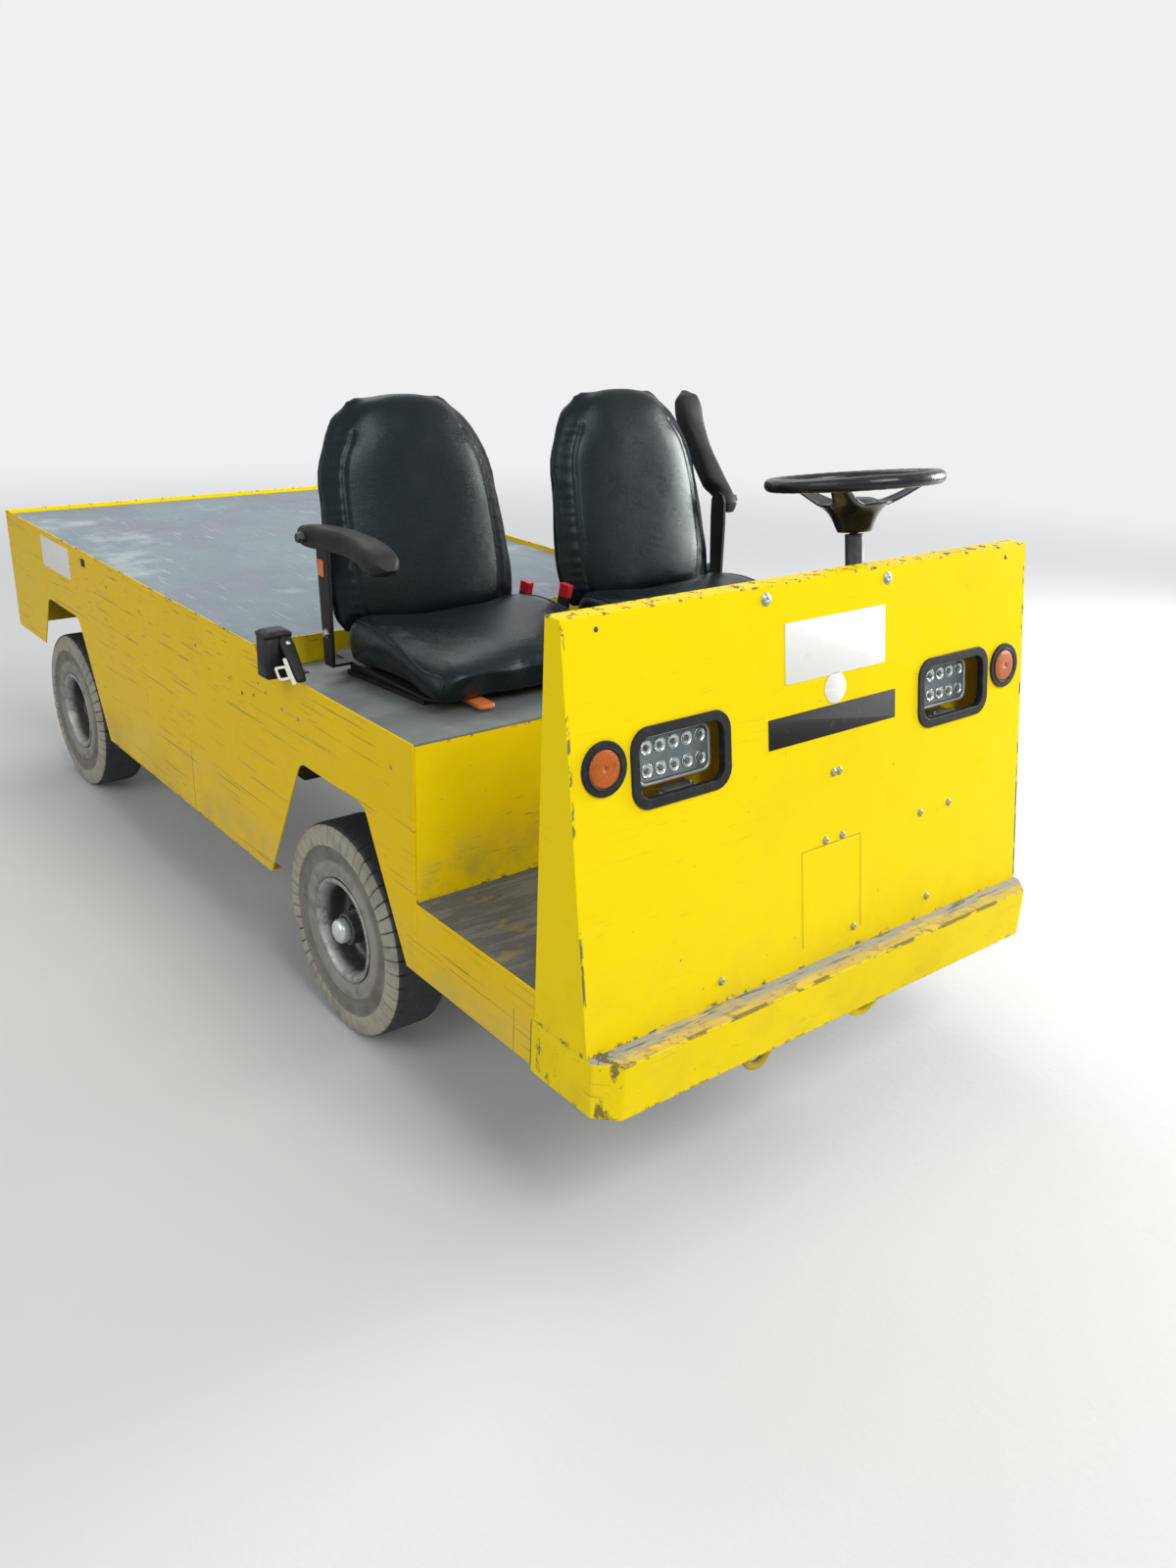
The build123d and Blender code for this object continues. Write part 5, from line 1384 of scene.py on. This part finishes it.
def armrest_loops():
    stations = [-34 + 322 * (0.5 - 0.5 * math.cos(math.pi * k / 44)) for k in range(45)]
    loops = []
    for ahead in stations:
        top = sum(straight(ahead + d, PAD_TOP) for d in (-9, -4, 0, 4, 9)) / 5
        low = sum(straight(ahead + d, PAD_LOW) for d in (-9, -4, 0, 4, 9)) / 5
        inner = sum(straight(ahead + d, PAD_IN) for d in (-9, -4, 0, 4, 9)) / 5
        outer = sum(straight(ahead + d, PAD_OUT) for d in (-9, -4, 0, 4, 9)) / 5
        close = min(1.0, math.sqrt(max(0.0, (ahead + 34.4) / 14)), math.sqrt(max(0.0, (288.4 - ahead) / 18)))
        loop = []
        for k in range(32):
            turn = 2 * math.pi * k / 32
            c, s = math.cos(turn), math.sin(turn)
            c = math.copysign(abs(c) ** 0.55, c)
            s = math.copysign(abs(s) ** 0.62, s)
            out = (inner + outer) / 2 + c * (outer - inner) / 2 * (0.35 + 0.65 * close)
            up = (top + low) / 2 + s * (top - low) / 2 * close
            loop.append(Vector((-out, -ahead, up)) * 0.001)
        loops.append(loop)
    return loops


def armrest(name, node, body, pin, mirror, turn):
    swing = Matrix.Rotation(turn, 3, "X")
    loops = [[pin + swing @ Vector((p.x * mirror, p.y, p.z)) for p in loop] for loop in armrest_loops()]
    pad = outward(piece(name, *loft(loops), foam_skin, body, "black_plastic", (node,)))
    return pad


PIN_LEFT = Vector((0.550, ARM_PIN.y - 0.080, ARM_PIN.z + SHIFT.z))
armrest("arm_pad_right", "armrest_right", "armrest_right", ARM_PIN, 1, 0.0)
armrest("arm_pad_left", "armrest_left", "armrest_left", PIN_LEFT, -1, math.radians(-126))
for s, pin, body in ((-1, ARM_PIN, "armrest_right"), (1, PIN_LEFT, "armrest_left")):
    knob = [(0.013, 0.0), (0.013, 0.006), (0.0105, 0.0075), (0.0105, 0.012), (0.0085, 0.0135), (0.001, 0.0135)]
    start = pin + X * s * 0.0365
    outward(piece("arm_knob_" + body, *turned(knob, start, Y, Z, X * s * 1.0, 6), nut_steel, "chassis", "seat_frame_steel", smooth=False))
print("armrests: 2")

# %% [markdown]
# ## Steering wheel
# The rim is a thick glossy hoop. Three broad spokes dip like a funnel to a boss that tapers down
# to the column. The wheel is made in its own plane and tilted with the column.

# %% Steering wheel
WHEEL_AT = point(0.270, 0.345, 1.200)
COLUMN = Vector((0, 0.119, 0.747)).normalized()
WHEEL_V = COLUMN.cross(X).normalized()
HOOP, GRIP = 0.157, 0.013


def in_wheel(radius, turn, up):
    return WHEEL_AT + (X * math.cos(turn) + WHEEL_V * math.sin(turn)) * radius + COLUMN * up


hoop_loops = []
for k in range(120):
    turn = 2 * math.pi * k / 120
    grip = [(GRIP - 0.0004 * (k % 3 == 0)) for _ in range(20)]
    hoop_loops.append([in_wheel(HOOP + grip[j] * math.cos(2 * math.pi * j / 20), turn, grip[j] * math.sin(2 * math.pi * j / 20)) for j in range(20)])
hoop = ([p for loop in hoop_loops for p in loop], grid_faces(120, 20, wrap_rows=True))
outward(piece("wheel_hoop", *hoop, wheel_gloss, "steering_wheel", "black_plastic", ("steering_wheel",)))
boss = [(0.0290, -0.0955), (0.0325, -0.0950), (0.0360, -0.0870), (0.0398, -0.0770), (0.0440, -0.0680), (0.0485, -0.0605), (0.0535, -0.0545),
        (0.0590, -0.0495), (0.0650, -0.0452), (0.0715, -0.0422), (0.0722, -0.0405), (0.0690, -0.0395), (0.0600, -0.0405), (0.0480, -0.0400),
        (0.0420, -0.0360), (0.0330, -0.0325), (0.0180, -0.0310), (0.0010, -0.0308)]
outward(piece("wheel_boss", *turned(boss, WHEEL_AT, X, WHEEL_V, COLUMN, 64), wheel_gloss, "steering_wheel", "black_plastic"))
for number, angle in enumerate((90, 210, 330)):
    turn = math.radians(angle)
    radial = X * math.cos(turn) + WHEEL_V * math.sin(turn)
    across = COLUMN.cross(radial)
    loops = []
    for k in range(15):
        t = k / 14
        r = 0.050 + (HOOP - 0.004 - 0.050) * t
        up = -0.0445 + 0.0420 * t ** 1.35
        half = 0.018 + 0.019 * (1 - t) ** 2 + (0.005 if t > 0.9 else 0.0)
        thick = 0.0045 - 0.0008 * t
        section = [(half * math.copysign(abs(math.cos(a)) ** 0.5, math.cos(a)), thick * math.copysign(abs(math.sin(a)) ** 0.7, math.sin(a)))
                   for a in [2 * math.pi * j / 20 for j in range(20)]]
        centre = WHEEL_AT + radial * r + COLUMN * up
        loops.append([centre + across * a + COLUMN * (b - 0.0022 * (1 - (a / half) ** 2)) for a, b in section])
    outward(piece("wheel_spoke_%d" % number, *loft(loops), wheel_gloss, "steering_wheel", "black_plastic"))
print("steering wheel: hoop, boss and 3 spokes")

# %% [markdown]
# ## Belt retractors
# A belt retractor stands on each edge of the deck in a black box with a hipped lid. Out of the
# passenger's one hangs a stiff black sleeve over the belt's end, riveted at its top, with
# the pale slotted latch plate lying beside it over the deck's edge.

# %% Belt retractors
pod_low, pod_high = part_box("belt_retractors")
latch_pale = Finish("latch_pale", (0.62, 0.61, 0.55), 0.38, metallic=0.3)
latch_pale.paint(latch_pale.band(latch_pale.noise(140, 4), 0.5, 0.7, 0.0, 0.6), (0.42, 0.40, 0.33))
latch_pale.bump(latch_pale.noise(500, 3), 0.0002)
for s, side_name in ((-1, "right"), (1, "left")):
    cx, cy = s * 0.600, NOSE + 1.055
    base = Vector((cx, cy, 0.770))
    loops = []
    for up, grow, radius in ((0.0, -0.001, 0.008), (0.003, 0.0, 0.009), (0.0805, -0.0006, 0.009), (0.0812, -0.0016, 0.009), (0.0822, -0.0016, 0.009),
                             (0.0830, 0.0004, 0.009), (0.0890, 0.0008, 0.009), (0.0905, -0.0006, 0.009), (0.0950, -0.0075, 0.007), (0.0966, -0.0120, 0.006)):
        loops.append(ring(base + Z * up, X, Y, slab_outline(0.0604 + 2 * grow, 0.0504 + 2 * grow, radius)))
    outward(piece("pod_" + side_name, *loft(loops), plastic, "chassis", "black_plastic", ("belt_retractors",)))
    foot_loops = [ring(Vector((s * 0.579, cy, 0.7671)) + Z * up, X, Y, slab_outline(0.092, 0.034, 0.003)) for up in (0.0, 0.003)]
    outward(piece("pod_foot_" + side_name, *loft(foot_loops), nut_steel, "chassis", "seat_frame_steel", ("belt_retractors",)))
    top = Vector((s * 0.588, NOSE + 1.0275, 0.846))
    end = Vector((s * 0.584, NOSE + 0.972, 0.7745))
    run = (end - top).normalized()
    wide = Vector((s, 0, 0))
    flat = run.cross(wide).normalized()
    sleeve = []
    for t, half, thick in ((-0.10, 0.006, 0.003), (-0.08, 0.011, 0.005), (-0.02, 0.0140, 0.0065), (0.12, 0.0150, 0.0072), (0.45, 0.0135, 0.0066), (0.80, 0.0115, 0.0056),
                           (0.95, 0.0105, 0.0046), (1.0, 0.0085, 0.0030)):
        sleeve.append(ring(top + (end - top) * t, wide, flat, slab_outline(2 * half, 2 * thick, 0.9 * thick)))
    outward(piece("belt_sleeve_" + side_name, *loft(sleeve), plastic, "chassis", "black_plastic"))
    facing_out = flat if flat.y < 0 else -flat
    rivet = turned([(0.0050, 0.0), (0.0050, 0.0006), (0.0038, 0.0018), (0.0008, 0.0022)], top + run * 0.008 + facing_out * 0.0068, wide, run, facing_out, 24)
    outward(piece("sleeve_rivet_" + side_name, *rivet, zinc, "chassis", "seat_frame_steel"))
    tongue_mid = top + (end - top) * 0.72 + wide * 0.0175 + facing_out * 0.001
    tongue = slab(tongue_mid - facing_out * 0.001, wide, run, facing_out, 0.008, 0.058, 0.003, 0.002, 0.0004)
    loop_mid = tongue_mid + wide * 0.0155 + run * 0.002
    outer = slab_outline(0.026, 0.030, 0.005)
    inner = slab_outline(0.017, 0.020, 0.003)
    ring_loops = [ring(loop_mid, wide, run, inner), ring(loop_mid, wide, run, outer), ring(loop_mid + facing_out * 0.0022, wide, run, outer),
                  ring(loop_mid + facing_out * 0.0022, wide, run, inner)]
    frame_faces = grid_faces(4, len(outer), wrap_rows=True)
    frame_verts = [p for loop in ring_loops for p in loop]
    outward(piece("latch_plate_" + side_name, *merged([tongue, (frame_verts, frame_faces)]), latch_pale, "chassis", "seat_frame_steel", smooth=False))
print("belt pods: 2")

# %% [markdown]
# ## Cowl trim
# The front sheet carries a blank white plate, a small oval sticker and a black name strip, all
# without lettering. Around them are the screws of the dash, the bolts of the column and pedals,
# and the outline of the access panel.

# %% Cowl trim
plate_white = Finish("plate_white", (0.70, 0.70, 0.67), 0.38)
plate_white.paint(plate_white.band(plate_white.noise(30, 5, 0.65), 0.55, 0.75, 0.0, 0.35), (0.55, 0.53, 0.44))
plate_white.paint(plate_white.band(plate_white.noise(150, 4, 0.7), 0.68, 0.74, 0.0, 0.6), (0.22, 0.20, 0.15))
plate_white.bump(plate_white.noise(120, 3), 0.0003)
plate_black = Finish("plate_black", (0.0075, 0.0075, 0.0080), 0.45, Specular_IOR_Level=0.22)
plate_black.paint(plate_black.band(plate_black.noise(60, 5, 0.7), 0.55, 0.70, 0.0, 0.6), (0.030, 0.030, 0.028))
plate_black.bump(plate_black.noise(300, 4), 0.0003)
# Seam and panel lines are thin strips of darker yellow: painted shade in the joints.
seam_shade = Finish("seam_shadow", (0.28, 0.20, 0.02), 0.6)
seam_shade.paint(seam_shade.band(seam_shade.noise(40, 4), 0.45, 0.65, 0.0, 0.8), (0.10, 0.075, 0.02))
seam_shade.bump(seam_shade.noise(300, 3), 0.0002)


def plate(name, x, z, width, height, radius, finish, slot="black_plastic", turn=0.0):
    u = X * math.cos(turn) + COWL_UP * math.sin(turn)
    v = COWL_UP * math.cos(turn) - X * math.sin(turn)
    return outward(piece(name, *slab(on_cowl(x, z, -0.0001), u, v, COWL_OUT, width, height, radius, 0.0011, 0.0003), finish, "chassis", slot))


plate("number_plate", 0.018, 0.968, 0.260, 0.1045, 0.003, plate_white)
plate("oval_sticker", 0.014, 0.892, 0.0555, 0.0550, 0.0275, plate_white)
plate("name_strip", 0.0115, 0.837, 0.333, 0.053, 0.002, plate_black)


def line_on_cowl(x0, z0, x1, z1, width=0.0012):
    a, b = on_cowl(x0, z0, 0.00005), on_cowl(x1, z1, 0.00005)
    along = (b - a).normalized()
    across = along.cross(COWL_OUT)
    return slab((a + b) / 2, along, across, COWL_OUT, (b - a).length, width, 0.0003, 0.0003, 0.0001)


# The access panel's outline is drawn as painted shade.
panel_lines = [line_on_cowl(-0.076, 0.612, 0.082, 0.612), line_on_cowl(-0.076, 0.432, -0.076, 0.612), line_on_cowl(0.082, 0.432, 0.082, 0.612)]
piece("access_outline", *merged(panel_lines), seam_shade, "chassis", "yellow_paint", smooth=False)
big = [button(on_cowl(x, z), X, COWL_UP, COWL_OUT, 0.0085) for x, z in ((-0.155, 1.065), (0.155, 1.065))]
small = [button(on_cowl(x, z), X, COWL_UP, COWL_OUT, 0.0058) for x, z in (
    (0.0086, 0.741), (0.0243, 0.741), (-0.0133, 0.620), (0.0321, 0.620), (0.258, 0.610), (0.346, 0.611),
    (-0.281, 0.435), (0.062, 0.435), (0.2805, 0.435))]
dark = [turned([(0.0042, 0.0), (0.0042, 0.0006), (0.0030, 0.0012), (0.0005, 0.0012)], on_cowl(x, z), X, COWL_UP, COWL_OUT, 20)
        for x, z in ((-0.513, 1.065), (0.513, 1.065))]
outward(piece("cowl_bolts", *merged(big), zinc, "chassis", "yellow_paint"))
outward(piece("cowl_screws", *merged(small), bolt_yellow, "chassis", "yellow_paint"))
outward(piece("corner_screws", *merged(dark), nut_steel, "chassis", "yellow_paint"))
print("cowl trim: 3 plates,", len(big) + len(small) + len(dark), "fasteners")

# %% [markdown]
# ## Side trim
# Each side sheet has a weld seam amidships and two at the step, plugged holes behind the belt
# pod, and a blank white label near the tail. The passenger's seat adds an orange tag on the
# armrest's post, a bright bolt at its foot, and an orange slide lever under the cushion.

# %% Side trim
orange = Finish("tag_orange", (0.62, 0.16, 0.035), 0.5)
orange.paint(orange.band(orange.noise(90, 4), 0.5, 0.7, 0.0, 0.6), (0.40, 0.10, 0.03))
orange.bump(orange.noise(400, 3), 0.0002)
rust = Finish("rust_spot", (0.22, 0.06, 0.015), 0.8)
rust.paint(rust.band(rust.noise(300, 4), 0.45, 0.65, 0.0, 0.8), (0.10, 0.03, 0.01))
rust.bump(rust.noise(500, 4), 0.0004)


def on_side(s, y, z, out=0.0):
    return point(s * (0.579 + out), y, z)


for s, side_name in ((-1, "right"), (1, "left")):
    normal = X * s
    lines = []
    # The side seams are drawn as strips of painted shade.
    for y, z0, z1 in ((1.600, 0.272, 0.4465), (0.247, 0.305, 0.392), (0.198, 0.305, 0.394)):
        middle = on_side(s, y, (z0 + z1) / 2, 0.00005)
        lines.append(slab(middle, Y, Z, normal, 0.0014, z1 - z0, 0.0004, 0.0003, 0.0001))
    piece("side_seams_" + side_name, *merged(lines), seam_shade, "chassis", "yellow_paint", smooth=False)
    fold = slab(on_side(s, 0.5655, 0.534, -0.0002), Y, Z, normal, 0.0100, 0.452, 0.004, 0.0018, 0.0012)
    outward(piece("corner_fold_" + side_name, *fold, side_paint, "chassis", "yellow_paint", smooth=False))
    plugs = [turned([(0.0050, 0.0), (0.0050, 0.0005), (0.0040, 0.0009), (0.0005, 0.0009)], on_side(s, y, z), Y, Z, normal, 20)
             for y, z in ((1.081, 0.685), (1.009, 0.685), (0.640, 0.700), (1.52, 0.715), (2.10, 0.730))]
    outward(piece("side_plugs_" + side_name, *merged(plugs), bolt_yellow, "chassis", "yellow_paint"))
    label = slab(on_side(s, 2.510, 0.733), Y, Z, normal, 0.240, 0.088, 0.003, 0.0008, 0.0002)
    outward(piece("side_label_" + side_name, *label, plate_white, "chassis", "yellow_paint"))
    tag = slab(on_side(s, 2.270, 0.762), Y, Z, normal, 0.030, 0.022, 0.002, 0.0008, 0.0002)
    outward(piece("side_tag_" + side_name, *tag, plate_black, "chassis", "yellow_paint"))
spots = [turned([(r, 0.0), (r * 0.9, 0.0004), (r * 0.2, 0.0005)], on_side(-1, y, z), Y, Z, -X, 12)
         for y, z, r in ((1.2755, 0.667, 0.005), (1.217, 0.678, 0.0035), (1.155, 0.700, 0.003), (1.19, 0.712, 0.0022), (1.33, 0.690, 0.0024))]
outward(piece("rust_spots", *merged(spots), rust, "chassis", "yellow_paint"))
tag = slab(point(-0.4862, 1.062, 0.975), Y, Z, -X, 0.024, 0.034, 0.002, 0.0009, 0.0003)
outward(piece("post_tag", *tag, orange, "chassis", "seat_frame_steel", smooth=False))
foot_bolt = turned([(0.0105, 0.0), (0.0105, 0.0016), (0.0078, 0.0018), (0.0078, 0.0062), (0.0066, 0.0074), (0.0012, 0.0076)], point(-0.486, 1.048, 0.842), Y, Z, -X, 6)
outward(piece("post_bolt", *foot_bolt, zinc, "chassis", "seat_frame_steel", smooth=False))
for side_name, across in (("right", 0.0), ("left", SHIFT.x)):
    lever = slab(point(-0.360 + across, 0.7060, 0.7725), X, Y, Z, 0.036, 0.122, 0.009, 0.0065, 0.0016)
    outward(piece("slide_lever_" + side_name, *lever, orange, "chassis", "red_plastic", smooth=False))
print("side trim done")

# %% [markdown]
# The stage is a large pale floor that fades into the backdrop's own tone
# far from the vehicle, so the horizon doesn't cut through the picture.

# %% Stage
FLOOR_HALF = 60.0
floor_mesh = bpy.data.meshes.new("floor")
floor_mesh.from_pydata(
    [(x * FLOOR_HALF, y * FLOOR_HALF, 0) for x, y in ((-1, -1), (1, -1), (1, 1), (-1, 1))], [], [(0, 1, 2, 3)]
)
floor = bpy.data.objects.new("floor", floor_mesh)
bpy.context.collection.objects.link(floor)
concrete = Finish("pale_floor", (0.60, 0.61, 0.61), 0.85)
concrete.paint(concrete.band(concrete.noise(1.3, 5), 0.4, 0.7, 0.0, 0.25), (0.55, 0.56, 0.56))
concrete.bump(concrete.noise(60, 4), 0.0006)
level = concrete.math("SQRT", concrete.math("ADD", concrete.both(concrete.axis("X"), concrete.axis("X")), concrete.both(concrete.axis("Y"), concrete.axis("Y"))))
far_off = concrete.band(level, 2.4, 8.0)
glow = concrete.add("ShaderNodeEmission")
glow.inputs["Color"].default_value = SKY_SEEN
fade = concrete.add("ShaderNodeMixShader")
concrete.feed(fade.inputs[0], concrete.both(far_off, concrete.add("ShaderNodeLightPath").outputs["Is Camera Ray"]))
concrete.tree.links.new(concrete.shader.outputs[0], fade.inputs[1])
concrete.tree.links.new(glow.outputs[0], fade.inputs[2])
concrete.tree.links.new(fade.outputs[0], concrete.tree.nodes["Material Output"].inputs["Surface"])
floor_mesh.materials.append(concrete.material)
print("floor reaches", FLOOR_HALF, "m each way")
